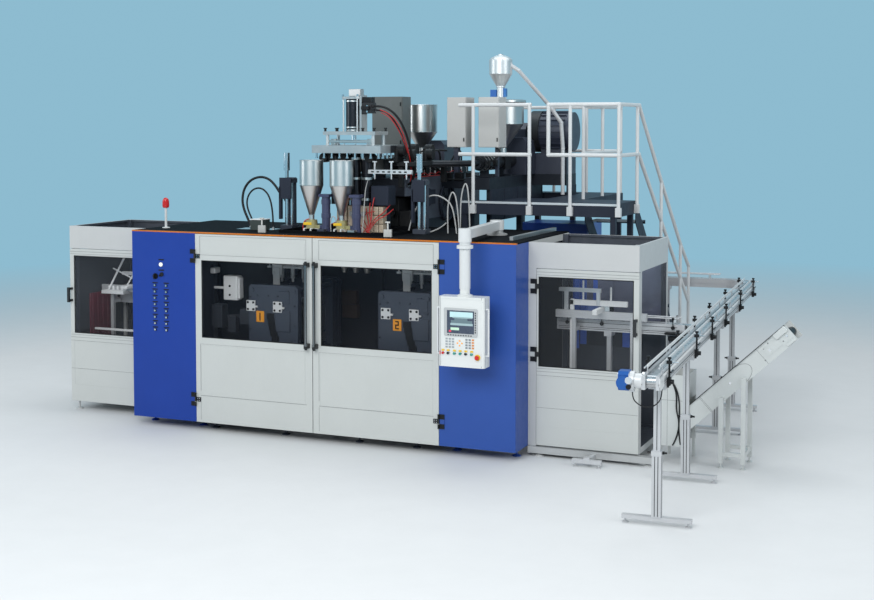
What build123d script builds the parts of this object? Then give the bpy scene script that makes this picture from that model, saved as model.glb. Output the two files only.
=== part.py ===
from build123d import *
import math
import os

# Two-station blow moulding machine, sizes in millimetres.
# X runs right along the front, Y runs to the back, Z runs up from the floor.
# The model is drawn about the front door gap, then moved to the middle of its own footprint.

# Clearances
running_gap = 0.3
bore_gap = 0.5

# Guard and doors
guard_height = 2200
guard_depth = 1740
panel_bottom = 100
cabinet_outer_x = 2300
cabinet_depth = 380
sheet = 3
door_hinge_x = 1465
door_gap = 8
door_side_gap = 3
door_thickness = 50
door_top_gap = 6
door_rail = 45
window_bottom = 1045
window_top = 1905
window_inner_margin = 95
window_outer_margin = 80
groove_width = 8
groove_depth = 1.5
lower_groove_bottom = 396
lower_groove_top = 966
fascia_groove_z = 1975
pane_thickness = 6
pane_lap = 12
pane_setback = 8
portal_tube = 70
roof_thickness = 12
roof_opening_x = (-560, 760)
roof_opening_y = (330, 1320)

# Hinges
hinge_height = 150
hinge_z = (352, 1948)
hinge_pin_radius = 4
hinge_knuckle_radius = 10
hinge_leaf = 8
hinge_pin_y = -14
hinge_door_leaf_width = 24
hinge_frame_leaf_width = 62

# Door handles
handle_z = (1000, 1946)
handle_x = 50
handle_reach = 60
handle_radius = 15

# Left cabinet controls
control_columns = (-1995, -1846)
control_rows = 8
control_top_z = 1628
control_pitch = 71.4
main_switch = (-1988, 1702)
main_switch_radius = 33

# Side enclosures
wing_outer_x = 3460
wing_back_y = 1570
wing_post = 60
wing_hinge_post = 85
wing_fascia_bottom = 1935
wing_window = (925, 1850)
wing_window_side = 55
wing_window_hinge_side = 20
wing_door_bottom = 112
wing_door_thickness = 40
wing_groove = (307, 824)
wing_hinge_z = (1050, 1750)
wing_handle_z = 1385
side_pane_bottom = 1500
wing_floor = 134

# Machine bed and clamp stations
head_x = 120
head_y = 800
station_offset = 800
bed_top = 560
bed_rail_y = (600, 1120)
bed_rail_width = 45
bed_rail_height = 40
carriage_half = 320
carriage_plate = (640, 700)
carriage_y = (330, 1400)
platen_half = 310
platen_z = (780, 1620)
platen_thickness = 80
platen_open_y = 350
clamp_stroke = 200
mould_half = 220
carriage_rail_x = 180
carriage_rail_height = 30
mould_z = (900, 1400)
tie_bar_radius = 25
tie_bar_x = 265
tie_bar_z = (840, 1560)
yoke_thickness = 60
clamp_rod_radius = 35
cavity_count = 3
cavity_pitch = 140
bottle_radius = 44
bottle_height = 230
neck_radius = 17
blow_pin_radius = 14
blow_pin_clearance = 25
blow_pin_rest_z = tie_bar_z[1] + tie_bar_radius + blow_pin_clearance
shift_rod_radius = 22

# Die head and its tower
head_radius = 60
head_bottom = 2500
heater_bottom = 2160
die_bottom = 1750
plate_z = (3085, 3170)
upper_plate_z = (3284, 3322)
tower_half = 420
cylinder_top = 3680
cylinder_radius = 88
mandrel_radius = 10

# Extruders
barrel_z = 2950
barrel_radius = 70
heater_radius = 92
second_x = 1100
frame_top = 2790
frame_half = 420
frame_front_y = 1200
frame_back_y = 3500

# Platform
deck_top = 2525
deck_depth = 150
deck_seam = (4, 3)
deck_front_y = 1750
deck_left_x = 1000
deck_right_x = 2840
stair_left_x = 2220
stair_top_y = 2570
stair_foot_y = 5290
rail_top_z = 3620
rail_mid_z = 3060
rail_radius = 22
post_radius = 20

# Outfeed conveyor, drawn along its own Y and then turned
line_start = (4148, -1800)
line_turn = 3.92
line_length = 7000
line_top = 1330
chain_width = 84
chain_thickness = 16
chain_pitch = 88
side_beam = 30
infeed_start = 3760
infeed_y = 1150
beam_height = 92
curve_radius = 360
rear_run = 940
sprocket_radius = 36
sprocket_teeth = 8
sprocket_z = line_top - chain_thickness - 2 - sprocket_radius

# Scrap conveyor
scrap_y = 800
scrap_width = 300
scrap_angle = 43
scrap_foot = (3760, 330)
scrap_length = 1560
scrap_side_height = 190
drum_radius = 42


# Hoses and the motor cable, as corner points
loop_outer_radius = 14
loop_inner_radius = 10
head_front_radius = 13
head_rear_radius = 10
cable_radius = 5
loop_outer = [(-1212, 780, 2236), (-1262, 782, 2330), (-1312, 786, 2430), (-1335, 790, 2541),
              (-1308, 795, 2671),
              (-1221, 800, 2769), (-1095, 805, 2806), (-985, 810, 2778), (-905, 816, 2700), (-850, 824, 2610),
              (-790, 832, 2545)]
loop_inner = [(-1118, 690, 2236), (-1146, 692, 2325), (-1195, 696, 2410), (-1222, 700, 2505),
              (-1200, 706, 2600),
              (-1130, 712, 2670), (-1035, 716, 2680), (-955, 718, 2620), (-912, 714, 2530), (-890, 708, 2430),
              (-878, 702, 2330), (-874, 698, 2236)]
head_front = [(368, 770, 3600), (440, 770, 3600), (512, 776, 3580), (580, 800, 3534), (632, 845, 3458),
              (665, 900, 3360), (682, 960, 3250), (690, 1020, 3130), (690, 1080, 3010), (680, 1140, 2900),
              (655, 1190, 2815), (608, 1222, 2755), (564, 1240, 2722)]
head_rear = [(368, 830, 3556), (428, 830, 3552), (488, 838, 3530), (540, 865, 3470), (580, 910, 3385),
             (604, 965, 3285), (618, 1025, 3180), (626, 1090, 3070), (626, 1150, 2960), (616, 1210, 2860),
             (594, 1262, 2780), (560, 1300, 2722)]
motor_cable = [(3984, -1811, 1180), (3984, -1811, 1122), (4026, -1784, 1070), (4080, -1756, 1046),
               (4136, -1722, 1050), (4178, -1692, 1082), (4196, -1668, 1134), (4196, -1657, 1196)]

nodes = {}
cords = []


def keep(name, *solids):
    """Record the solids of one named piece."""
    nodes[name] = Compound(children=[s for shape in solids for s in shape.solids()])


def block(x, y, z):
    """A rectangular block between two limits on each axis, given in any order."""
    x0, x1 = sorted(x)
    y0, y1 = sorted(y)
    z0, z1 = sorted(z)
    return Pos((x0 + x1) / 2, (y0 + y1) / 2, (z0 + z1) / 2) * Box(x1 - x0, y1 - y0, z1 - z0)


def rod(start, end, radius):
    """A round bar between two points."""
    a, b = Vector(*start), Vector(*end)
    return Solid.make_cylinder(radius, (b - a).length, Plane(origin=a, z_dir=b - a))


def turned(profile, x, y):
    """A turned piece about the upright axis at x, y, from (radius, height) corners."""
    face = make_face(Polyline([(r, z) for r, z in profile], close=True))
    return Pos(x, y, 0) * revolve(Rot(90, 0, 0) * face, Axis.Z)


def prism(corners, axis, low, high):
    """A flat profile drawn on the plane square to an axis and pushed between two heights."""
    planes = {"x": Plane.YZ, "y": Plane.XZ, "z": Plane.XY}
    sign = -1 if axis == "y" else 1
    face = planes[axis] * make_face(Polyline(corners, close=True))
    solid = extrude(face, (high - low) * sign)
    shift = {"x": (low, 0, 0), "y": (0, low, 0), "z": (0, 0, low)}[axis]
    return Pos(*shift) * solid


def ferrule(path, radius, reach=30):
    """The metal end fitting of a hose, running back from its first point into the piece that holds it."""
    start = Vector(*path[0])
    back = (start - Vector(*path[1])).normalized() * reach
    return rod(tuple(start + back), tuple(start), radius + 5)


def mirrored(shape):
    """The same piece on the other side of the door gap."""
    return mirror(shape, Plane.YZ)


def groove_frame(x, z, front):
    """A cutter for a pressed rectangular line in a front sheet."""
    x0, x1 = sorted(x)
    z0, z1 = sorted(z)
    outer = block((x0, x1), (front, front + groove_depth), (z0, z1))
    w = groove_width
    return outer - block((x0 + w, x1 - w), (front, front + groove_depth), (z0 + w, z1 - w))


def hinge(x, z, front, side):
    """One three-knuckle hinge: its fixed leaf with the pin, and its moving leaf."""
    pin_y = front + hinge_pin_y
    third = hinge_height / 3
    low, high = z - hinge_height / 2, z + hinge_height / 2
    fixed_x = x + side * hinge_frame_leaf_width
    moving_x = x - side * hinge_door_leaf_width
    leaf_y = (front - hinge_leaf, front)
    knuckle = rod((x, pin_y, low), (x, pin_y, high), hinge_knuckle_radius)
    neck = block((x, x + side * hinge_knuckle_radius), (pin_y, front - hinge_leaf), (low, high))
    fixed = block((x + side * 5, fixed_x), leaf_y, (low, high)) + knuckle + neck
    slot_reach = hinge_knuckle_radius + 3
    slot_z = (z - third / 2 - running_gap, z + third / 2 + running_gap)
    fixed -= block((x - slot_reach, x + slot_reach), (pin_y - slot_reach, front), slot_z)
    fixed += rod((x, pin_y, low), (x, pin_y, high), hinge_pin_radius)
    mid = (z - third / 2, z + third / 2)
    moving = rod((x, pin_y, mid[0]), (x, pin_y, mid[1]), hinge_knuckle_radius)
    moving += block((x, x - side * hinge_knuckle_radius), (pin_y, front), mid)
    moving += block((x - side * 4, moving_x), leaf_y, mid)
    moving -= rod((x, pin_y, low), (x, pin_y, high), hinge_pin_radius + running_gap)
    return fixed, moving


# Machine bed with its rails, shift cylinders and levelling feet
def foot(x, y, top):
    """A levelling foot with its disc on the floor."""
    return turned([(0, 0), (45, 0), (45, 10), (14, 22), (10, 22), (10, top), (0, top)], x, y)


def base_frame():
    beam = (140, 340)
    front = block((-door_hinge_x, door_hinge_x), (140, 300), beam)
    back = block((-2240, 2240), (1440, 1600), beam)
    frame = front + back
    for x in (-1375, -680, head_x, 920, 1375):
        frame += block((x - 60, x + 60), (300, 1440), beam)
    for y in bed_rail_y:
        frame += block((-1455, 1455), (y - 70, y + 70), (340, bed_top))
        rail = block((-1040, 1280), (y - bed_rail_width / 2, y + bed_rail_width / 2),
                     (bed_top, bed_top + bed_rail_height))
        frame += rail
    for side, inner in ((-1, head_x - station_offset - carriage_half),
                        (1, head_x + station_offset + carriage_half)):
        start = inner + side * 40
        end = inner + side * 930
        bracket_x = (start + side * 10, start + side * 60)
        barrel = rod((start, 860, 600), (end, 860, 600), 42)
        barrel -= rod((start, 860, 600), (end - side * 20, 860, 600), shift_rod_radius + running_gap)
        frame += barrel
        frame += block(bracket_x, (800, 920), (340, 600)) - rod((start, 860, 600), (end, 860, 600), 40)
    frame += block((-1455, 1455), (800, 920), (300, 340))
    for x, y in ((-1346, 217), (-450, 217), (450, 217), (1123, 217)):
        frame += foot(x, y, beam[0])
    for x in (-2150, -1000, 1000, 2150):
        frame += foot(x, 1520, beam[0])
    keep("base_frame", frame)


# Guard frame: front portal, roof beams, station beams with blow pin bushes, rear panels
def guard_frame():
    top = (guard_height - portal_tube, guard_height)
    portal_y = (door_thickness + 6, door_thickness + 6 + portal_tube)
    frame = block((-door_hinge_x, door_hinge_x), portal_y, top)
    frame += block((-door_hinge_x, door_hinge_x), portal_y, (panel_bottom, panel_bottom + 40))
    back_y = (guard_depth - portal_tube, guard_depth - sheet)
    for side in (-1, 1):
        outer = side * cabinet_outer_x
        inner = outer - side * portal_tube
        frame += block((inner, outer), (cabinet_depth, guard_depth - sheet), top)
        frame += block((inner, outer), back_y, (panel_bottom, guard_height))
    frame += block((-cabinet_outer_x, cabinet_outer_x), back_y, top)
    frame += block((-cabinet_outer_x, cabinet_outer_x), back_y, (panel_bottom, 135))
    for x in (-1120, 0, 1120):
        frame += block((x - 30, x + 30), back_y, (panel_bottom, guard_height))
    panel_width = 2 * cabinet_outer_x / 4
    for i in range(4):
        x0 = -cabinet_outer_x + i * panel_width
        panel = block((x0 + 3, x0 + panel_width - 3), (guard_depth - sheet, guard_depth),
                      (panel_bottom, guard_height - 4))
        frame += panel
        for z in (760, 1480):
            frame += block((x0 + 90, x0 + panel_width - 90), (guard_depth, guard_depth + 8), (z, z + 24))
    for station in (-1, 1):
        x = head_x + station * station_offset
        for side in (-1, 1):
            beam_x = x + side * 240
            frame += block((beam_x - 30, beam_x + 30), (portal_y[1], back_y[0]), (2090, 2170))
        hanger = block((x - 210, x + 210), (head_y - 70, head_y + 70), (2120, 2150))
        for side in (-1, 1):
            rod_x = x + side * 150
            hanger += rod((rod_x, head_y, 2010), (rod_x, head_y, 2150), 32)
            hanger -= rod((rod_x, head_y, 2000), (rod_x, head_y, 2160), 18 + bore_gap)
        hanger += rod((x, head_y, 1990), (x, head_y, 2180), 38)
        hanger -= rod((x, head_y, 1980), (x, head_y, 2165), 16 + bore_gap)
        frame += hanger
    keep("guard_frame", frame)


# Roof deck with its coloured front edge strip and lifting brackets
def roof_deck():
    z = (guard_height, guard_height + roof_thickness)
    deck = block((-cabinet_outer_x, cabinet_outer_x), (0, guard_depth), z)
    deck -= block(roof_opening_x, roof_opening_y, z)
    rim = block((roof_opening_x[0] - 20, roof_opening_x[1] + 20),
                (roof_opening_y[0] - 20, roof_opening_y[1] + 20), (z[1], z[1] + 30))
    rim -= block(roof_opening_x, roof_opening_y, (z[1], z[1] + 30))
    deck += rim
    for x in (-752, 776):
        deck += block((x - 45, x + 45), (230, 250), (z[1], z[1] + 80))
        deck += rod((x, 240, z[1] + 80), (x, 240, z[1] + 150), 9)
        deck += rod((x - 25, 240, z[1] + 155), (x + 25, 240, z[1] + 155), 9)
    deck += block((2110, 2150), (330, guard_depth), (z[1], z[1] + 40))
    for path, radius in ((loop_outer, loop_outer_radius), (loop_inner, loop_inner_radius),
                         (loop_inner[::-1], loop_inner_radius)):
        deck += ferrule(path, radius, 34)
    keep("roof_deck", deck)


# Side cabinets: closed sheet boxes with the left one's controls
def cabinet_shell(side):
    x = (side * door_hinge_x, side * cabinet_outer_x)
    outer = block(x, (0, cabinet_depth), (panel_bottom, guard_height))
    outer = fillet(outer.edges().filter_by(Axis.Z).group_by(Axis.Y)[0], 6)
    inner = block((x[0] + side * sheet, x[1] - side * sheet), (sheet, cabinet_depth - sheet),
                  (panel_bottom + sheet, guard_height - sheet))
    shell = outer - inner
    for foot_x in (door_hinge_x + 90, cabinet_outer_x - 90):
        shell += foot(side * foot_x, 290, panel_bottom)
    return shell


def left_cabinet():
    shell = cabinet_shell(-1)
    switch_x, switch_z = main_switch
    bosses = []
    for x in control_columns:
        for row in range(control_rows):
            z = control_top_z - row * control_pitch
            bosses.append(block((x - 34, x + 34), (-2, 0), (z - 6, z + 6)))
            bosses.append(block((x - 15, x + 15), (-9, 0), (z - 40, z - 14)))
    for x, z in ((-1911, 1836), (-1902, 1725)):
        bosses.append(rod((x, -10, z), (x, 0, z), 24))
    for z in (1890, 1772):
        bosses.append(block((-1945, -1875), (-2, 0), (z - 7, z + 7)))
    bosses.append(rod((-1926, -16, 1712), (-1926, 0, 1712), 11))
    for boss in bosses:
        shell += boss
    shell -= rod((switch_x, -1, switch_z), (switch_x, 10, switch_z), 9 + running_gap)
    keep("left_cabinet", shell)
    knob = rod((switch_x, -7, switch_z), (switch_x, -1, switch_z), main_switch_radius)
    knob += rod((switch_x, -16, switch_z), (switch_x, -7, switch_z), main_switch_radius - 5)
    grip = block((switch_x - 7, switch_x + 7), (-38, -16),
                 (switch_z - main_switch_radius + 6, switch_z + main_switch_radius - 6))
    knob += fillet(grip.edges().filter_by(Axis.Y), 4)
    knob += rod((switch_x, -1, switch_z), (switch_x, 9, switch_z), 9)
    keep("selector_knob", knob)


def beacon():
    x, y = -2120, 410
    pole = turned([(0, 2212), (45, 2212), (45, 2220), (14, 2226), (14, 2440), (34, 2446),
                   (34, 2456), (0, 2456)], x, y)
    dome = turned([(0, 2456), (38, 2456), (40, 2476), (38, 2520), (30, 2545), (16, 2558), (0, 2562)], x, y)
    keep("beacon_light", pole + dome)


# Front doors, drawn on the right and mirrored for the left
def front_door():
    x = (door_gap / 2, door_hinge_x - door_side_gap)
    z = (panel_bottom, guard_height - door_top_gap)
    window_x = (door_gap / 2 + window_inner_margin, door_hinge_x - window_outer_margin)
    window_z = (window_bottom, window_top)
    leaf = block(x, (0, door_thickness), z)
    leaf -= block(window_x, (0, door_thickness), window_z)
    rebate_x = (window_x[0] - pane_lap, window_x[1] + pane_lap)
    rebate_z = (window_z[0] - pane_lap, window_z[1] + pane_lap)
    leaf -= block(rebate_x, (pane_setback, door_thickness), rebate_z)
    for low, high in ((z[0] + door_rail, rebate_z[0] - door_rail),
                      (rebate_z[1] + door_rail, z[1] - door_rail)):
        leaf -= block((x[0] + door_rail, x[1] - door_rail), (sheet, door_thickness), (low, high))
    leaf -= groove_frame((x[0] + 82, x[1] - 60), (lower_groove_bottom, lower_groove_top), 0)
    leaf -= groove_frame((x[0] + 82, x[1] - 60), (fascia_groove_z, z[1] - 60), 0)
    for hz in hinge_z:
        leaf += hinge(door_hinge_x, hz, 0, 1)[1]
    gap = 1
    pane = block((rebate_x[0] + gap, rebate_x[1] - gap), (pane_setback, pane_setback + pane_thickness),
                 (rebate_z[0] + gap, rebate_z[1] - gap))
    y = -handle_reach
    bar = rod((handle_x, y, handle_z[0]), (handle_x, y, handle_z[1]), handle_radius)
    for z0 in (handle_z[0] + 15, handle_z[1] - 65):
        grip = block((handle_x - 19, handle_x + 19), (y - 19, 0), (z0, z0 + 50))
        bar += fillet(grip.edges().filter_by(Axis.Z).group_by(Axis.Y)[0], 8)
    return leaf, pane, bar


def doors():
    leaf, pane, bar = front_door()
    for name, pose in (("right", lambda s: s), ("left", mirrored)):
        keep(f"{name}_door", pose(leaf))
        keep(f"{name}_door_glass", pose(pane))
        keep(f"{name}_door_handle", pose(bar))


# Side enclosures, drawn on the right and mirrored for the left
def wing_frame(open_side):
    """The frame of one enclosure; a conveyor leaves through an open side."""
    x0, x1 = cabinet_outer_x, wing_outer_x
    y0, y1 = cabinet_depth, wing_back_y
    door_back = y0 + wing_door_thickness + 4
    top = (wing_fascia_bottom, guard_height)
    low = (panel_bottom, panel_bottom + 60)
    hinge_post = block((x0, x0 + wing_hinge_post), (y0, y0 + wing_post), (panel_bottom, guard_height))
    frame = hinge_post
    corner = (x1 - wing_post, x1)
    frame += block(corner, (door_back, door_back + wing_post), (panel_bottom, guard_height))
    for x in ((x0, x0 + wing_post), corner):
        frame += block(x, (y1 - wing_post, y1), (panel_bottom, guard_height))
    frame += block((x0, x1), (y0, y0 + sheet), top)
    frame += block((x0, x1), (y1 - sheet, y1), top)
    frame += block((x1 - sheet, x1), (y0, y1), top)
    frame += block((x0, x1), (y0, y0 + 30), (guard_height - 24, guard_height))
    frame += block((x0, x1), (y1 - 30, y1), (guard_height - 24, guard_height))
    frame += block((x1 - 30, x1), (y0, y1), (guard_height - 24, guard_height))
    frame += block((x0, x1), (door_back, door_back + 40), low)
    frame += block((x0, x1), (y1 - 40, y1), low)
    frame += block((x1 - 40, x1), (door_back, y1), low)
    inner = (x0 + wing_post, x1 - wing_post)
    frame += block(inner, (y1 - sheet, y1), (low[1], 1250))
    frame += block((x0, x1 - 40), (door_back + 40, y1 - 40), (wing_floor - 4, wing_floor))
    if not open_side:
        frame += block((x1 - sheet, x1), (door_back + wing_post, y1 - wing_post), (low[1], wing_window[0]))
    for x, y in ((x0 + 45, y0 + 90), (x1 - 45, y0 + 90), (x0 + 45, y1 - 90), (x1 - 45, y1 - 90)):
        frame += foot(x, y, panel_bottom + 30)
    return frame


def wing_panes(open_side):
    """The fixed panes of one enclosure: the outer side and the back."""
    x1, y1 = wing_outer_x, wing_back_y
    door_back = cabinet_depth + wing_door_thickness + 4
    low = side_pane_bottom if open_side else wing_window[0]
    side_pane = block((x1 - 30, x1 - 30 + pane_thickness),
                      (door_back + wing_post, y1 - wing_post), (low, wing_fascia_bottom))
    back = block((cabinet_outer_x + wing_post, x1 - wing_post), (y1 - 30, y1 - 30 + pane_thickness),
                 (1250, wing_fascia_bottom))
    return side_pane + back


def wing_door():
    front = cabinet_depth
    x = (cabinet_outer_x + wing_hinge_post + door_side_gap, wing_outer_x)
    z = (wing_door_bottom, wing_fascia_bottom - door_top_gap)
    back = front + wing_door_thickness
    window_x = (x[0] + wing_window_hinge_side, x[1] - wing_window_side)
    leaf = block(x, (front, back), z) - block(window_x, (front, back), wing_window)
    rebate_x = (window_x[0] - pane_lap, window_x[1] + pane_lap)
    rebate_z = (wing_window[0] - pane_lap, wing_window[1] + pane_lap)
    leaf -= block(rebate_x, (front + pane_setback, back), rebate_z)
    leaf -= block((x[0] + door_rail, x[1] - door_rail), (front + sheet, back),
                  (z[0] + door_rail, rebate_z[0] - door_rail))
    leaf -= groove_frame((x[0] + 20, x[1] - 50), wing_groove, front)
    leaf -= block((x[0] + 8, x[1] - 8), (front, front + groove_depth),
                  (wing_window[1] + 36, wing_window[1] + 44))
    hinge_x = x[0] - door_side_gap
    for hz in wing_hinge_z:
        moving = mirror(hinge(0, hz, front, 1)[1], Plane.YZ)
        leaf += Pos(hinge_x, 0, 0) * moving
    handle_x0 = wing_outer_x - 26
    for hz in (wing_handle_z - 70, wing_handle_z + 70):
        leaf += block((handle_x0 - 12, handle_x0 + 12), (front - 60, front), (hz - 13, hz + 13))
    leaf += block((handle_x0 - 14, handle_x0 + 14), (front - 80, front - 56),
                  (wing_handle_z - 88, wing_handle_z + 88))
    pane_y = (front + pane_setback, front + pane_setback + pane_thickness)
    pane = block((rebate_x[0] + 1, rebate_x[1] - 1), pane_y,
                 (rebate_z[0] + 1, rebate_z[1] - 1))
    return leaf, pane


def wings():
    left = mirrored(wing_frame(False))
    right = wing_frame(True)
    channel = block((2310, 3620), (342, 422), (34, panel_bottom))
    channel -= block((2310, 3620), (350, 422), (42, panel_bottom - 8))
    right += channel
    for x in (2420, 3560):
        right += foot(x, 385, 34)
    keep("left_wing", left)
    keep("right_wing", right)
    keep("fixed_panes", wing_panes(True), mirrored(wing_panes(False)))
    leaf, pane = wing_door()
    for name, pose in (("right", lambda s: s), ("left", mirrored)):
        keep(f"{name}_wing_door", pose(leaf))
        keep(f"{name}_wing_door_glass", pose(pane))


def fixed_leaves():
    """All hinge leaves that stay on the cabinets and enclosure posts, with their pins."""
    leaves = []
    for z in hinge_z:
        leaf = hinge(door_hinge_x, z, 0, 1)[0]
        leaves += [leaf, mirrored(leaf)]
    wing_x = cabinet_outer_x + wing_hinge_post
    for z in wing_hinge_z:
        leaf = Pos(wing_x, 0, 0) * mirror(hinge(0, z, cabinet_depth, 1)[0], Plane.YZ)
        leaves += [leaf, mirrored(leaf)]
    keep("fixed_hinge_leaves", *leaves)


# Operator panel on its swing arm
panel_x = 1872
panel_y = -300
panel_width = 487
panel_depth = 170
panel_front = -400
panel_z = (1006, 1702)
mount_x = 1740
mount_y = 950
arm_z = (2268, 2372)
pivot_radius = 38
drop_tube_radius = 55
drop_tube_bottom = 1775
button_x = 2045
button_z = 1112
button_bore = 8.5
button_travel = 5


def operator_panel():
    roof = guard_height + roof_thickness
    base = turned([(0, roof), (112, roof), (112, roof + 14), (70, roof + 22), (62, arm_z[0] - running_gap),
                   (pivot_radius, arm_z[0] - running_gap), (pivot_radius, arm_z[1] - 30), (0, arm_z[1] - 30)],
                  mount_x, mount_y)
    keep("panel_mount", base)
    run = Vector(panel_x - mount_x, panel_y - mount_y, 0)
    hub = rod((mount_x, mount_y, arm_z[0]), (mount_x, mount_y, arm_z[1]), 76)
    across = Vector(0, 0, 1).cross(run.normalized()) * 44
    start = Vector(mount_x, mount_y, 0)
    end = Vector(panel_x, panel_y, 0)
    outline = [(p.X, p.Y) for p in (start + across, end + across, end - across, start - across)]
    beam = prism(outline, "z", arm_z[0] + 2, arm_z[1] - 12)
    elbow = rod((panel_x, panel_y, arm_z[0] - 30), (panel_x, panel_y, arm_z[1]), 66)
    arm = hub + beam + elbow
    arm += rod((panel_x, panel_y, drop_tube_bottom), (panel_x, panel_y, arm_z[0]), drop_tube_radius)
    arm += turned([(0, 2176), (82, 2176), (82, 2206), (drop_tube_radius, 2214), (0, 2214)], panel_x, panel_y)
    arm -= rod((mount_x, mount_y, arm_z[0] - 1), (mount_x, mount_y, arm_z[1] - 25), pivot_radius + running_gap)
    swivel = 30
    arm -= rod((panel_x, panel_y, drop_tube_bottom - 1), (panel_x, panel_y, drop_tube_bottom + 60),
               swivel + running_gap)
    keep("panel_arm", arm)
    section = Pos(panel_x, panel_front + panel_depth / 2) * RectangleRounded(panel_width, panel_depth, 26)
    housing = extrude(Pos(0, 0, panel_z[0]) * section, panel_z[1] - panel_z[0])
    inset = 22
    front_x = (panel_x - panel_width / 2 + inset, panel_x + panel_width / 2 - inset)
    housing -= block(front_x, (panel_front, panel_front + 5), (panel_z[0] + inset, panel_z[1] - inset))
    housing += turned([(0, panel_z[1]), (78, panel_z[1]), (78, panel_z[1] + 10), (50, panel_z[1] + 22),
                       (50, drop_tube_bottom - running_gap), (swivel, drop_tube_bottom - running_gap),
                       (swivel, drop_tube_bottom + 50), (0, drop_tube_bottom + 50)], panel_x, panel_y)
    face = panel_front + 5
    for x in (1678, 1733, 1800, 1861, 1921, 1983):
        housing += rod((x, face - 16, 1140), (x, face, 1140), 13)
        housing += block((x - 16, x + 16), (face - 2, face), (1160, 1172))
    for x, columns in ((1750, 3), (1962, 3)):
        for col in range(columns):
            for row in range(4):
                key_x = x - 34 + col * 34
                key_z = 1282 - row * 27
                housing += block((key_x - 12, key_x + 12), (face - 2, face), (key_z - 9, key_z + 9))
    housing += rod((button_x, face - 9, button_z), (button_x, face, button_z), 30)
    housing -= rod((button_x, face - 10, button_z), (button_x, face + 28, button_z), button_bore)
    latch_z = panel_z[1] + 45
    housing += rod((panel_x + 52, panel_y - 75, latch_z), (panel_x + 30, panel_y - 30, latch_z), 6)
    keep("panel_housing", housing)
    screen = block((1690, 2044), (face - 10, face), (1312, 1590))
    screen = fillet(screen.edges().filter_by(Axis.Y), 12)
    screen -= block((1722, 2012), (face - 10, face - 6), (1340, 1568))
    keep("panel_screen", screen)
    head_back = face - 9 - button_travel - 2
    button = rod((button_x, head_back, button_z), (button_x, face + 20, button_z), button_bore - running_gap)
    mushroom = rod((button_x, head_back - 20, button_z), (button_x, head_back, button_z), 22)
    button += fillet(mushroom.edges().sort_by(Axis.Y)[0], 7)
    keep("emergency_stop", button)


# Clamp stations: carriage with its yoke, platens with mould halves, blow pins
def bottle(x, y):
    top = mould_z[1]
    shoulder = top - 90
    floor = shoulder - bottle_height
    return turned([(0, floor), (bottle_radius, floor), (bottle_radius, shoulder), (neck_radius, shoulder + 45),
                   (neck_radius, top + 1), (0, top + 1)], x, y)


def mould_block(x, face_y, back_y):
    """A mould half with half of each bottle cut in its parting face."""
    half = block((x - mould_half, x + mould_half), (face_y, back_y), mould_z)
    first = x - cavity_pitch * (cavity_count - 1) / 2
    for i in range(cavity_count):
        half -= bottle(first + i * cavity_pitch, face_y)
    return half


def platen(x, y, holes):
    """A platen with its fixing bores, lightening slots and guide shoes."""
    plate = block((x - platen_half, x + platen_half), y, platen_z)
    edges = plate.edges().filter_by(Axis.Y)
    plate = chamfer(edges, 30)
    for side in (-1, 1):
        shoe_x = x + side * carriage_rail_x
        plate += block((shoe_x - 38, shoe_x + 38), y, (carriage_plate[1] + carriage_rail_height + running_gap,
                                                      platen_z[0]))
        for z in tie_bar_z:
            if holes:
                bar_x = x + side * tie_bar_x
                plate -= rod((bar_x, y[0] - 1, z), (bar_x, y[1] + 1, z), tie_bar_radius + bore_gap)
    return plate


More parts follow.
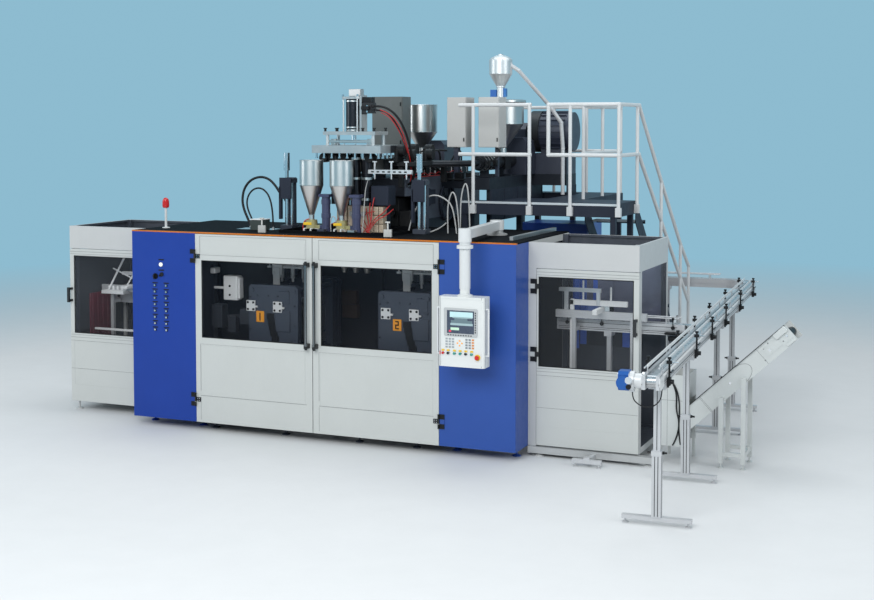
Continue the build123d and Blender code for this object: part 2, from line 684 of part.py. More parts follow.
def clamp_station(name, side):
    x = head_x + side * station_offset
    low, high = carriage_plate
    plate = block((x - carriage_half, x + carriage_half), carriage_y, (low, high))
    for y in bed_rail_y:
        for bx in (-230, 230):
            plate += block((x + bx - 50, x + bx + 50), (y - 48, y + 48),
                           (bed_top + bed_rail_height + running_gap, low))
    for bx in (-carriage_rail_x, carriage_rail_x):
        plate += block((x + bx - 20, x + bx + 20), (platen_open_y, 1330), (high, high + carriage_rail_height))
    yoke_y = (1330, 1330 + yoke_thickness)
    yoke_z = (700, platen_z[1])
    yoke = block((x - platen_half, x + platen_half), yoke_y, yoke_z)
    yoke = chamfer(yoke.edges().filter_by(Axis.Y).group_by(Axis.Z)[-1], 30)
    rod_z = (mould_z[0] + mould_z[1]) / 2
    yoke += rod((x, yoke_y[1], rod_z), (x, 1640, rod_z), 62)
    yoke -= rod((x, yoke_y[0] - 1, rod_z), (x, 1625, rod_z), clamp_rod_radius + bore_gap)
    for bar_side in (-1, 1):
        for z in tie_bar_z:
            bar_x = x + bar_side * tie_bar_x
            yoke -= rod((bar_x, yoke_y[0] - 1, z), (bar_x, yoke_y[1] + 1, z), tie_bar_radius + bore_gap)
    outer = side * carriage_half + x
    lug = block((outer - side * 40, outer), (820, 900), (560, low))
    shift = rod((outer, 860, 600), (outer + side * 880, 860, 600), shift_rod_radius)
    keep(f"{name}_carriage", plate + yoke + lug + shift)

    front_y = (platen_open_y, platen_open_y + platen_thickness)
    front = platen(x, front_y, False)
    for bar_side in (-1, 1):
        for z in tie_bar_z:
            bar_x = x + bar_side * tie_bar_x
            front += rod((bar_x, front_y[0] - 14, z), (bar_x, 1450, z), tie_bar_radius)
    half = mould_block(x, head_y - clamp_stroke, front_y[1])
    keep(f"{name}_front_platen", front, half)

    rear_y = (2 * head_y - front_y[1], 2 * head_y - front_y[0])
    rear = platen(x, rear_y, True)
    rear += rod((x, rear_y[1], rod_z), (x, 1600, rod_z), clamp_rod_radius)
    half = mould_block(x, head_y + clamp_stroke, rear_y[0])
    keep(f"{name}_rear_platen", rear, half)

    pins = block((x - 200, x + 200), (head_y - 55, head_y + 55), (1770, 1810))
    first = x - cavity_pitch * (cavity_count - 1) / 2
    for i in range(cavity_count):
        pin_x = first + i * cavity_pitch
        pins += turned([(0, blow_pin_rest_z), (blow_pin_radius - 5, blow_pin_rest_z),
                        (blow_pin_radius, blow_pin_rest_z + 12), (blow_pin_radius, 1650), (24, 1660),
                        (24, 1770), (0, 1770)], pin_x, head_y)
    for bar_side in (-1, 1):
        pins += rod((x + bar_side * 150, head_y, 1810), (x + bar_side * 150, head_y, 2185), 18)
    pins += rod((x, head_y, 1810), (x, head_y, 2150), 16)
    keep(f"{name}_blow_pins", pins)


# Die head: manifold, three heads with square heaters, dies
def die_head():
    first = head_x - cavity_pitch * (cavity_count - 1) / 2
    manifold = block((first - 90, first + cavity_pitch * (cavity_count - 1) + 90),
                     (head_y + 40, 1180), (2870, 3030))
    head = chamfer(manifold.edges().filter_by(Axis.Y), 20)
    for i in range(cavity_count):
        x = first + i * cavity_pitch
        head += rod((x, head_y, head_bottom), (x, head_y, plate_z[0]), head_radius)
        head += turned([(0, 2830), (68, 2830), (68, 2860), (0, 2860)], x, head_y)
        head += turned([(0, 2620), (68, 2620), (68, 2650), (0, 2650)], x, head_y)
        heater = block((x - 64, x + 64), (head_y - 75, head_y + 75), (heater_bottom, head_bottom))
        head += fillet(heater.edges().filter_by(Axis.Z), 18)
        head += turned([(0, die_bottom), (26, die_bottom), (44, die_bottom + 60), (52, die_bottom + 60),
                        (52, heater_bottom), (0, heater_bottom)], x, head_y)
        head -= rod((x, head_y, 2880), (x, head_y, plate_z[0] + 1), mandrel_radius + bore_gap)
    keep("die_head", head)


def head_tower():
    x0, x1 = head_x - tower_half, head_x + tower_half
    plate = block((x0, x1), (560, 1180), plate_z)
    first = head_x - cavity_pitch * (cavity_count - 1) / 2
    for i in range(cavity_count):
        x = first + i * cavity_pitch
        plate -= rod((x, head_y, plate_z[0] - 1), (x, head_y, plate_z[1] + 1), mandrel_radius + 4)
    for px in (head_x - 280, head_x + 280):
        for py in (head_y - 130, head_y + 130):
            plate += rod((px, py, plate_z[1]), (px, py, upper_plate_z[0]), 18)
    upper = block((head_x - 320, head_x + 320), (head_y - 165, head_y + 165), upper_plate_z)
    barrel = rod((head_x - 20, head_y, upper_plate_z[1]), (head_x - 20, head_y, cylinder_top), cylinder_radius)
    flange = block((head_x - 125, head_x + 85), (head_y - 105, head_y + 105), (cylinder_top, cylinder_top + 26))
    tower = plate + upper + barrel + chamfer(flange.edges().filter_by(Axis.Z), 20)
    for dx in (-105, 65):
        for dy in (-85, 85):
            tower += rod((head_x + dx, head_y + dy, upper_plate_z[1]),
                         (head_x + dx, head_y + dy, cylinder_top), 9)
    tower -= rod((head_x - 20, head_y, upper_plate_z[0] - 1), (head_x - 20, head_y, 3600), 28 + bore_gap)
    tower += block((head_x - 60, head_x + 85), (head_y - 40, head_y + 40), (cylinder_top + 26, 3790))
    tower += block((head_x + 85, head_x + 110), (head_y - 70, head_y + 70), (upper_plate_z[1], 3720))
    tower += block((head_x + 110, head_x + 225), (head_y - 62, head_y + 62), (3520, 3640))
    for x in (-720, 920):
        roof = guard_height + roof_thickness
        column = block((x - 75, x + 75), (head_y - 75, head_y + 75), (roof, roof + 50))
        column += block((x - 30, x + 60), (head_y + 10, head_y + 60), (roof + 50, 2800))
        column += rod((x - 20, head_y - 20, roof + 50), (x - 20, head_y - 20, 2880), 22)
        column += rod((x + 48, head_y - 28, roof + 50), (x + 48, head_y - 28, 2780), 16)
        column += block((x - 60, x + 70), (head_y - 60, head_y + 62), (2740, 2790))
        column += rod((x - 20, head_y - 20, 2880), (x - 20, head_y - 20, 3080), 36)
        if x < 0:
            column += ferrule(loop_outer[::-1], loop_outer_radius, 80)
        tower += column
    tower += ferrule(head_front, head_front_radius) + ferrule(head_rear, head_rear_radius)
    keep("head_tower", tower)
    rods = block((head_x - 210, head_x + 210), (head_y - 60, head_y + 60), (3190, 3230))
    rods += rod((head_x - 20, head_y, 3230), (head_x - 20, head_y, 3540), 28)
    for i in range(cavity_count):
        x = first + i * cavity_pitch
        rods += rod((x, head_y, 2900), (x, head_y, 3190), mandrel_radius)
    keep("head_rod", rods)


# Hoppers, loader and pipe
def open_hopper(x, y, top, knee, bottom, radius, outlet, wall):
    """A thin-walled hopper: a cylinder over a cone, open at both ends."""
    return turned([(radius, top), (radius, knee), (outlet, bottom), (outlet, bottom - 70),
                   (outlet - wall, bottom - 70), (outlet - wall, bottom), (radius - wall, knee),
                   (radius - wall, top)], x, y)


def hoppers():
    small = []
    for x in (-245, 124):
        body = open_hopper(x, 450, 3010, 2735, 2410, 130, 30, 4)
        barrel_x = x + 178
        body += turned([(26, 2340), (60, 2340), (60, 2356), (26, 2356)], x, 450)
        small.append(body)
        strip = rod((barrel_x, 450, 2150), (barrel_x, 450, 2610), 46)
        strip += block((barrel_x - 62, barrel_x + 62), (390, 510), (2610, 2640))
        strip += block((x + 10, barrel_x), (425, 475), (2262, 2300))
        strip += turned([(20, 2262), (64, 2262), (64, 2340), (20, 2340)], x, 450)
        for z in (2230, 2380, 2530):
            strip += rod((barrel_x, 450, z), (barrel_x, 450, z + 50), 52)
        strip += block((barrel_x - 40, barrel_x + 40), (330 - 20, 404), (2212 + 30, 2262))
        small.append(strip)
    rear = open_hopper(head_x, 2630, 3640, 3307, 3115, 188, 50, 5)
    main = open_hopper(second_x, 2820, 3640, 3405, 3115, 262, 56, 5)
    main += turned([(0, 3640), (262, 3640), (290, 3668), (290, 3690), (258, 3702), (0, 3702)], second_x, 2820)
    keep("feed_hoppers", *small, rear, main)
    x, y = second_x - 20, 2820
    loader = turned([(0, 3702), (70, 3702), (70, 3716), (48, 3720), (48, 3846), (56, 3850), (56, 3866),
                     (140, 4010), (142, 4180), (120, 4206), (60, 4232), (30, 4236), (30, 4250), (0, 4254)], x, y)
    loader += block((x - 120, x - 40), (y - 40, y + 40), (3735, 3820))
    loader += block((x + 46, x + 76), (y - 26, y + 26), (3735, 3835))
    points = [(x + 120, y, 4120), (x + 210, y + 60, 4050), (x + 470, y + 440, 3640), (x + 590, y + 560, 3420),
              (x + 600, y + 600, 3100), (x + 600, y + 600, 2530)]
    for a, b in zip(points, points[1:]):
        loader += rod(a, b, 24)
    for p in points[1:-1]:
        loader += Pos(*p) * Sphere(26)
    keep("vacuum_loader", loader)


# Extruders: slate frame, gearboxes and motors, barrels, the main screw
def extruder_frame():
    y0, y1 = frame_front_y, frame_back_y
    outline = [(y0, frame_top), (y0, 2590), (1480, 2590), (1600, 2540), (1700, 2440), (1780, 2300), (1780, 120),
               (2060, 120), (2060, 1700), (2180, 2050), (2400, 2240), (2640, 2300), (2880, 2240), (3100, 2050),
               (3220, 1700), (3220, 120), (y1, 120), (y1, frame_top)]
    frame = None
    for side in (-1, 1):
        edge = head_x + side * frame_half
        cheek = prism(outline, "x", min(edge, edge - side * 30), max(edge, edge - side * 30))
        frame = cheek if frame is None else frame + cheek
    inner = (head_x - frame_half, head_x + frame_half)
    frame += block(inner, (y0, y1), (frame_top - 30, frame_top))
    frame += block(inner, (y0, y0 + 30), (2590, frame_top))
    for y in (1780, 2030, 3220, y1 - 30):
        frame += block(inner, (y, y + 30), (120, 400))
    frame += block(inner, (y1 - 30, y1), (1000, frame_top))
    for y in (1920, 3360):
        for side in (-1, 1):
            x = head_x + side * (frame_half - 60)
            frame += block((x - 60, x + 60), (y - 125, y + 125), (90, 120))
            frame += foot(x, y, 90)
    b0, b1 = second_x - 150, second_x + 150
    for x in (b0, b1 - 60):
        frame += block((x, x + 60), (2000, 3900), (2640, 2780))
        for y in (2060, 3780):
            frame += block((x, x + 60), (y, y + 80), (90, 2640))
            frame += foot(x + 30, y + 40, 90)
    for y in (2000, 2800, 3840):
        frame += block((b0, b1), (y, y + 60), (2640, 2780))
    frame += block((inner[1], b0), (2240, 2320), (2640, 2730))
    frame += block((b1, 1700), (3820, 3900), (2640, 2780))
    frame += block((b1, 1700), (3500, 3580), (2640, 2780))
    frame += block((1640, 1700), (3500, 3900), (2640, 2780))
    frame += block((1640, 1700), (3840, 3900), (90, 2640))
    frame += foot(1670, 3870, 90)
    for y in (1400, 2250):
        frame += block((head_x - 60, head_x + 60), (y, y + 60), (frame_top, barrel_z - barrel_radius + 6))
    for y in (2200, 2720):
        frame += block((second_x - 150, second_x + 150), (y, y + 50), (2780, 2800))
        frame += block((second_x - 50, second_x + 50), (y, y + 50), (2800, barrel_z - barrel_radius + 6))
    bar = rod((head_x, 1100, barrel_z), (head_x, 3100, barrel_z), barrel_radius)
    bar += rod((second_x, 2000, barrel_z), (second_x, 3100, barrel_z), barrel_radius)
    frame -= bar
    frame += ferrule(head_front[::-1], head_front_radius, 50) + ferrule(head_rear[::-1], head_rear_radius, 66)
    keep("extruder_frame", frame)


def motor(x0, x1, y, z, radius, ribs):
    """A ribbed motor lying along X with its fan cowl at the left."""
    body = rod((x0 + 130, y, z), (x1, y, z), radius - 18)
    for i in range(ribs):
        angle = math.radians(360 / ribs * i)
        rib = block((x0 + 150, x1 - 60), (-7, 7), (radius - 24, radius))
        body += Pos(0, y, z) * Rot(math.degrees(angle), 0, 0) * rib
    body += rod((x0, y, z), (x0 + 140, y, z), radius)
    return body


def extruder_drive():
    gear = block((head_x - 200, head_x + 200), (2860, 3360), (frame_top, 3200))
    gear = chamfer(gear.edges().filter_by(Axis.Y).group_by(Axis.Z)[-1], 50)
    gear += rod((head_x, 3360, 3020), (head_x, 3480, 3020), 150)
    second = block((second_x - 190, second_x + 190), (3150, 3500), (2780, 3240))
    second = chamfer(second.edges().filter_by(Axis.Y).group_by(Axis.Z)[-1], 50)
    pedestal = block((second_x + 150, 1700), (3520, 3890), (2780, 3040))
    motor_body = motor(1200, 1740, 3705, 3310, 262, 20)
    pedestal += block((1340, 1640), (3580, 3830), (3040, 3120))
    belt_case = block((second_x - 90, second_x + 60), (3500, 3860), (2950, 3420))
    belt_case = chamfer(belt_case.edges().filter_by(Axis.X), 80)
    second += pedestal + motor_body + belt_case
    bore = rod((second_x, 3149, barrel_z), (second_x, 3380, barrel_z), 38 + bore_gap)
    keep("extruder_drive", gear, second - bore)


def extruder_barrel():
    def barrel(x, y0, y1, throat_y):
        tube = rod((x, y0, barrel_z), (x, y1, barrel_z), barrel_radius)
        count = int((throat_y - 150 - y0 - 60) // 190)
        for i in range(count):
            y = y0 + 60 + i * 190
            tube += rod((x, y, barrel_z), (x, y + 150, barrel_z), heater_radius)
        tube += block((x - 80, x + 80), (throat_y - 100, throat_y + 100), (barrel_z - 90, barrel_z + 95))
        tube -= rod((x, throat_y, barrel_z), (x, throat_y, barrel_z + 100), 40)
        return tube
    first = barrel(head_x, 1180, 2860, 2630)
    second = barrel(second_x, 2000, 3150, 2820)
    second -= rod((second_x, 2040, barrel_z), (second_x, 3151, barrel_z), 40)
    path = [(second_x, 1990, barrel_z), (second_x - 60, 1880, barrel_z), (head_x + 300, 1090, barrel_z)]
    second += rod((second_x, 2000, barrel_z), (second_x, 1980, barrel_z), 60)
    for a, b in zip(path, path[1:]):
        second += rod(a, b, 36)
    second += Pos(*path[1]) * Sphere(38)
    reach = block((head_x + cavity_pitch + 90, head_x + cavity_pitch + 150), (1040, 1150), (2890, 3010))
    second += reach
    second -= block((head_x - cavity_pitch - 90, head_x + cavity_pitch + 90), (head_y, 1180), (2800, 3100))
    saddles = []
    for x, y in ((head_x, 1400), (head_x, 2250), (second_x, 2200), (second_x, 2720)):
        saddles.append(block((x - 61, x + 61), (y - 1, y + 61), (2700, barrel_z - barrel_radius + 7)))
    cleared = rod((head_x, 1181, barrel_z), (head_x, 2859, barrel_z), barrel_radius)
    for saddle in saddles:
        first -= saddle - cleared
        second -= saddle - rod((second_x, 2001, barrel_z), (second_x, 3149, barrel_z), barrel_radius)
    keep("extruder_barrel", first, second)
    core = 26
    flight = 39
    screw = rod((second_x, 2060, barrel_z), (second_x, 3140, barrel_z), core)
    for i in range(12):
        y = 2090 + i * 86
        ring = rod((second_x, y, barrel_z), (second_x, y + 14, barrel_z), flight)
        screw += ring
    screw += rod((second_x, 3130, barrel_z), (second_x, 3360, barrel_z), 38)
    keep("extruder_screw", screw)


def control_boxes():
    def box(x, y, z, inset):
        body = block(x, y, z)
        lid = block((x[0] + inset, x[1] - inset), (y[0] - 12, y[0]), (z[0] + inset, z[1] - inset))
        return body + fillet(lid.edges().filter_by(Axis.Y), 10)
    first = box((630, 870), (2212, 2480), (3130, 3720), 6)
    first += block((700, 760), (2250, 2310), (2730, 3130))
    second = box((1030, 1290), (2212, 2450), (3130, 3720), 6)
    second += block((1205, 1245), (2300, 2340), (2780, 3130))
    grey = box((-260, 140), (2012, 2250), (3100, 3730), 6)
    grey += block((-240, -180), (2100, 2160), (frame_top, 3100))
    rear = box((1280, 2130), (3012, 3600), (100, 2200), 8)
    for x in (1340, 2070):
        for y in (3080, 3540):
            rear += foot(x, y, 100)
    keep("control_boxes", first, second, grey, rear)


# Platform with its stair
def stair_z(y):
    """Height of the stair's nosing line above the floor."""
    return deck_top * (stair_foot_y - y) / (stair_foot_y - stair_top_y)


def platform():
    low = deck_top - deck_depth
    outline = [(deck_left_x, deck_front_y), (deck_right_x, deck_front_y), (deck_right_x, stair_top_y),
               (stair_left_x, stair_top_y), (stair_left_x, 4250), (830, 4250), (830, 3950), (1760, 3950),
               (1760, stair_top_y), (1400, stair_top_y), (1400, 1950), (deck_left_x, 1950)]
    shape = prism(outline, "z", low, deck_top)
    pockets = [((deck_left_x + 60, 1900), (deck_front_y + 60, 1890)), ((1460, 2780), (1950, 2510)),
               ((1820, 2160), (2570, 4190)), ((890, 2160), (4010, 4190))]
    for x, y in pockets:
        shape -= block(x, y, (low, deck_top - 12))
    shape -= block((1760, stair_left_x), (stair_top_y, stair_top_y + deck_seam[0]),
                   (deck_top - deck_seam[1], deck_top))
    legs = [(1030, 1800), (2790, 1800), (2790, 2500), (2180, 4200), (870, 4200), (1430, 2530)]
    for x, y in legs:
        shape += block((x - 30, x + 30), (y - 30, y + 30), (12, low))
        shape += block((x - 70, x + 70), (y - 50, y + 50), (0, 12))
    shape += block((1000, 1060), (guard_depth, 1770), (2080, 2160))
    run = stair_foot_y - stair_top_y
    stringer = [(stair_top_y, deck_top), (stair_top_y, deck_top - 260), (stair_foot_y - 330, 0),
                (stair_foot_y, 0), (stair_foot_y, 60)]
    for x in ((stair_left_x + 5, stair_left_x + 15), (deck_right_x - 10, deck_right_x)):
        shape += prism(stringer, "x", x[0], x[1])
    steps = 11
    for i in range(1, steps):
        y = stair_top_y + run * i / steps
        z = stair_z(y)
        tread = (stair_left_x + 15, deck_right_x - 10)
        shape += block(tread, (y - 10, y + 220), (z - 40, z - 25))
        shape += block(tread, (y + 205, y + 220), (z - 70, z - 40))
    keep("platform", shape)


def rail(points, radius=None):
    """A run of tube through corner points, with ball joints at the corners."""
    radius = radius or rail_radius
    run = rod(points[0], points[1], radius)
    for a, b in zip(points[1:], points[2:]):
        run += rod(a, b, radius)
    for p in points[1:-1]:
        run += Pos(*p) * Sphere(radius + 2)
    return run


def post(x, y, low, high):
    return rod((x, y, low), (x, y, high), post_radius)


def handrails():
    front_y = deck_front_y - 26
    side_x = deck_right_x + 26
    foot_z = deck_top - deck_depth + 20
    left = rail([(980, front_y, rail_top_z), (1855, front_y, rail_top_z)])
    left += rail([(980, front_y, rail_mid_z), (1855, front_y, rail_mid_z)])
    for x in (1156, 1833):
        left += post(x, front_y, foot_z, rail_top_z)
        left += block((x - 30, x + 30), (front_y - 26, deck_front_y), (foot_z - 10, foot_z + 90))
    slope = [(side_x, 3660, 2700), (side_x, 4710, 1850), (side_x, 5190, 1520)]
    right = rail([(side_x, 5190, 1050), (side_x, stair_top_y, rail_mid_z), (side_x, front_y, rail_mid_z),
                  (2057, front_y, rail_mid_z), (2057, front_y, rail_top_z), (side_x, front_y, rail_top_z),
                  (side_x, stair_top_y, rail_top_z)] + slope)
    for x in (2311, side_x):
        right += post(x, front_y, foot_z, rail_top_z)
        right += block((x - 30, x + 30), (front_y - 26, deck_front_y), (foot_z - 10, foot_z + 90))
    right += post(side_x, stair_top_y - 60, foot_z, rail_top_z)
    right += block((deck_right_x, side_x + 26), (stair_top_y - 90, stair_top_y - 30),
                   (foot_z - 10, foot_z + 90))
    for x, y, z in slope:
        low = max(stair_z(y) - 160, 10)
        right += post(x, y, low, z)
        right += block((deck_right_x, side_x + 24), (y - 26, y + 26), (low - 10, low + 60))
    left_x = stair_left_x - 26
    start_y = stair_top_y + 40
    inner = rail([(left_x, start_y - 22, rail_top_z), (left_x, 4224, rail_top_z), (838, 4224, rail_top_z)])
    inner += rail([(left_x, start_y - 22, rail_mid_z), (left_x, 4224, rail_mid_z), (838, 4224, rail_mid_z)])
    for x, y in ((left_x, start_y), (left_x, 3400), (left_x, 4224), (1740, 4224), (1300, 4224), (860, 4224)):
        inner += post(x, y, deck_top, rail_top_z)
    keep("handrails", left, right, inner)


# Outfeed conveyor, built on its own axes and placed by line_place
line_place = Pos(line_start[0], line_start[1], 0) * Rot(0, 0, line_turn)
end_margin = 90


def straight_section(start, end, half):
    """Two side beams with a groove, cross ties and guide rails, along local Y."""
    top = line_top - chain_thickness - 4
    parts = None
    for side in (-1, 1):
        inner = side * half
        beam = block((inner, inner + side * side_beam), (start, end), (top - beam_height, line_top + 4))
        beam -= block((inner + side * (side_beam - 6), inner + side * side_beam), (start, end),
                      (top - 55, top - 40))
        parts = beam if parts is None else parts + beam
        parts += block((side * 26, inner), (start + end_margin, end - end_margin),
                       (line_top - 24, line_top - 6))
        guide_x = side * (half + 16)
        parts += rod((guide_x, start + 60, line_top + 62), (guide_x, end, line_top + 62), 7)
        count = max(2, int((end - start) // 900))
        for i in range(count):
            y = start + 200 + (end - start - 400) * i / (count - 1)
            parts += rod((guide_x, y, line_top), (guide_x, y, line_top + 62), 6)
    count = max(2, int((end - start) // 700))
    for i in range(count):
        y = start + 180 + (end - start - 360) * i / (count - 1)
        parts += block((-half, half), (y - 20, y + 20), (top - 62, top - 10))
    return parts


def leg(y, half, foot_turn, stand=0):
    """A telescopic leg on a cross foot with two levelling pads, or on a plate at a given height."""
    top = line_top - chain_thickness - 4 - beam_height
    post = block((-half - side_beam, half + side_beam), (y - 40, y + 40), (top - 50, top))
    post += block((-30, 30), (y - 22, y + 22), (620, top - 50))
    post += block((-45, 45), (y - 45, y + 45), (600, 640))
    post += block((-40, 40), (y - 40, y + 40), (stand + 12 if stand else 70, 600))
    if stand:
        return post + block((-70, 70), (y - 70, y + 70), (stand, stand + 12))
    if foot_turn:
        cross = block((-30, 30), (y - 300, y + 300), (40, 72))
        pads = [(0, y - 270), (0, y + 270)]
    else:
        cross = block((-300, 300), (y - 30, y + 30), (40, 72))
        pads = [(-270, y), (270, y)]
    post += chamfer(cross.edges().filter_by(Axis.Z), 10)
    for px, py in pads:
        post += turned([(0, 0), (30, 0), (30, 8), (9, 16), (9, 40), (0, 40)], px, py)
    return post


def outfeed_conveyor():
    half = chain_width / 2 + 2
    straight = straight_section(-end_margin, line_length, half)
    for y in (260, 1800, 3940, 5260):
        straight += leg(y, half, False)
    centre = (-curve_radius, line_length)
    top = line_top - chain_thickness - 4
    for inner, outer in ((curve_radius - half - side_beam, curve_radius - half),
                         (curve_radius + half, curve_radius + half + side_beam)):
        ring = turned([(inner, top - beam_height), (outer, top - beam_height), (outer, line_top + 4),
                       (inner, line_top + 4)], *centre)
        reach = curve_radius + half + side_beam + 1
        quarter = block((centre[0], centre[0] + reach), (centre[1], centre[1] + reach), (1000, 1500))
        strip_radius = inner + side_beam if inner < curve_radius else inner
        strip_radius = sorted((strip_radius, curve_radius - 26 if inner < curve_radius else curve_radius + 26))
        ring += turned([(strip_radius[0], line_top - 24), (strip_radius[1], line_top - 24),
                        (strip_radius[1], line_top - 6), (strip_radius[0], line_top - 6)], *centre)
        straight += ring & quarter
    corner = (-curve_radius, line_length + curve_radius)
    turn_back = Pos(corner[0], corner[1], 0) * Rot(0, 0, 90)
    back_run = straight_section(0, rear_run + end_margin, half) + leg(rear_run - 180, half, True)
    axle = half + side_beam + 1
    straight -= rod((-axle, 0, sprocket_z), (axle, 0, sprocket_z), 12 + bore_gap)
    back_run -= rod((-axle, rear_run, sprocket_z), (axle, rear_run, sprocket_z), 12 + bore_gap)
    frame = line_place * (straight + turn_back * back_run)
    infeed = Pos(infeed_start, infeed_y, 0) * Rot(0, 0, 90)
    frame_infeed = infeed * (straight_section(0, 1380, half) + leg(820, half, True, wing_floor))
    rail_x = (2420, 3400)
    frame_infeed += block(rail_x, (905, 945), (1370, 1450))
    for x in (2620, 3250):
        frame_infeed += block((x - 20, x + 20), (905, 945), (600, 1370))
        frame_infeed += block((x - 20, x + 20), (905, 1060), (1228, 1268))
        frame_infeed += block((x - 70, x + 70), (870, 980), (wing_floor, wing_floor + 12))
        frame_infeed += block((x - 40, x + 40), (885, 965), (wing_floor + 12, 600))
    mirror_rail = mirrored(block(rail_x, (905, 945), (1370, 1450)))
    left_line = mirrored(Pos(3380, infeed_y, 0) * Rot(0, 0, 90) * straight_section(0, 1000, half))
    for x in (-2620, -3250):
        left_line += block((x - 20, x + 20), (905, 945), (600, 1370))
        left_line += block((x - 20, x + 20), (905, 1060), (1228, 1268))
        left_line += block((x - 40, x + 40), (885, 965), (wing_floor, 600))
    front_foot = block((2860, 3160), (95, 145), (38, 78)) + block((2990, 3030), (145, 342), (38, 78))
    front_foot += block((2980, 3040), (100, 160), (78, 96))
    for x in (2890, 3130):
        front_foot += turned([(0, 0), (26, 0), (26, 8), (9, 14), (9, 40), (0, 40)], x, 120)
    frame += ferrule(motor_cable[::-1], cable_radius)
    keep("conveyor_frame", frame, frame_infeed, left_line + mirror_rail, front_foot)


def chain_slat(length):
    """One chain slat, drawn along local Y from the origin."""
    half = chain_width / 2
    gap = 4
    return block((-half, half), (gap / 2, length - gap / 2), (line_top - 6, line_top))


def chain_run(start, end):
    """The carrying run with its slats, and the plain return run below it."""
    count = int((end - start) // chain_pitch)
    pitch = (end - start) / count
    run = block((-22, 22), (start, end), (line_top - chain_thickness, line_top - 6))
    for i in range(count):
        run += Pos(0, start + i * pitch, 0) * chain_slat(pitch)
    return run + return_run(start, end)


def return_run(start, end):
    low = sprocket_z - sprocket_radius - 2 - chain_thickness
    half = chain_width / 2
    return block((-22, 22), (start, end), (low + 6, low + chain_thickness)) + \
        block((-half, half), (start, end), (low, low + 6))


def chain_wrap(y, side):
    """The half turn of chain round a sprocket at one end of a run."""
    inner = sprocket_radius + 2
    outer = inner + chain_thickness
    half = chain_width / 2
    links = rod((-22, y, sprocket_z), (22, y, sprocket_z), outer - 6)
    slats = rod((-half, y, sprocket_z), (half, y, sprocket_z), outer)
    slats -= rod((-half, y, sprocket_z), (half, y, sprocket_z), outer - 6)
    for angle in (-54, -18, 18, 54):
        gap = block((-half, half), (outer - 5, outer), (-1.5, 1.5))
        slats -= Pos(0, y, sprocket_z) * Rot(angle if side > 0 else 180 + angle, 0, 0) * gap
    ring = links + slats - rod((-half, y, sprocket_z), (half, y, sprocket_z), inner)
    return ring & block((-half, half), (y, y + side * 100), (1000, 1500))


def chain_curve(centre):
    """The chain's quarter turn in plan, carrying and return runs."""
    half = chain_width / 2
    low = sprocket_z - sprocket_radius - 2 - chain_thickness
    carry = (line_top - chain_thickness, line_top - 6, line_top - 6, line_top)
    back = (low + chain_thickness, low + 6, low + 6, low)
    band = None
    for link_0, link_1, slat_0, slat_1 in (carry, back):
        ring = turned([(curve_radius - 22, link_0), (curve_radius + 22, link_0), (curve_radius + 22, link_1),
                       (curve_radius + half, slat_0), (curve_radius + half, slat_1), (curve_radius - half, slat_1),
                       (curve_radius - half, slat_0), (curve_radius - 22, link_1)], *centre)
        band = ring if band is None else band + ring
    reach = curve_radius + half + 1
    return band & block((centre[0], centre[0] + reach), (centre[1], centre[1] + reach), (1000, 1500))


def chain():
    run = chain_run(0, line_length) + chain_wrap(0, -1)
    run += chain_curve((-curve_radius, line_length))
    corner = (-curve_radius, line_length + curve_radius)
    turn_back = Pos(corner[0], corner[1], 0) * Rot(0, 0, 90)
    run += turn_back * (chain_run(0, rear_run) + chain_wrap(rear_run, 1))
    infeed = Pos(infeed_start, infeed_y, 0) * Rot(0, 0, 90) * chain_run(-60, 1360)
    left = mirrored(Pos(3380, infeed_y, 0) * Rot(0, 0, 90) * chain_run(20, 980))
    keep("conveyor_chain", line_place * run, infeed, left)


def sprocket():
    """A toothed wheel on its shaft, lying along local X."""
    axis_z = sprocket_z
    wheel = rod((-12, 0, axis_z), (12, 0, axis_z), sprocket_radius - 8)
    for i in range(sprocket_teeth):
        tooth = block((-8, 8), (-7, 7), (sprocket_radius - 12, sprocket_radius))
        wheel += Pos(0, 0, axis_z) * Rot(360 / sprocket_teeth * i, 0, 0) * tooth
    half = chain_width / 2 + 2 + side_beam
    wheel += rod((-half - 60, 0, axis_z), (half - 4, 0, axis_z), 12)
    return wheel, axis_z


def conveyor_drive():
    wheel, axis_z = sprocket()
    half = chain_width / 2 + 2
    outer = half + side_beam
    plates = None
    for side in (-1, 1):
        plate = prism([(-end_margin, axis_z + 40), (-end_margin + 200, axis_z + 40),
                       (-end_margin + 200, axis_z - 52), (-end_margin + 60, axis_z - 70), (-end_margin, axis_z - 30)],
                      "x", 0, 6)
        x = outer if side > 0 else -outer - 6
        plate = Pos(x, 0, 0) * plate
        plates = plate if plates is None else plates + plate
    plates -= rod((-outer - 20, 0, axis_z), (outer + 20, 0, axis_z), 12 + bore_gap)
    bearing = rod((-outer - 6, 0, axis_z), (-outer - 70, 0, axis_z), 62)
    gearbox = rod((-outer - 70, 0, axis_z), (-outer - 110, 0, axis_z), 78)
    case = block((-outer - 200, -outer - 110), (-75, 75), (axis_z - 80, axis_z + 80))
    case = chamfer(case.edges().filter_by(Axis.X), 24)
    motor_body = rod((-outer - 155, -100, axis_z - 10), (-outer - 155, 30, axis_z - 10), 56)
    terminal = block((-outer - 106, -outer - 74), (-16, 16), (motor_cable[0][2], axis_z - 60))
    unit = plates + bearing + gearbox + case + motor_body + terminal
    unit -= rod((-outer - 70, 0, axis_z), (outer + 20, 0, axis_z), 12 + bore_gap)
    rear_place = Pos(-curve_radius, line_length + curve_radius, 0) * Rot(0, 0, 90) * Pos(0, rear_run, 0)
    keep("conveyor_drive", line_place * unit)
    keep("drive_sprocket", line_place * wheel)
    idler = wheel - block((-300, -half - side_beam + 4), (-30, 30), (axis_z - 30, axis_z + 30))
    keep("idler_sprocket", line_place * rear_place * idler)


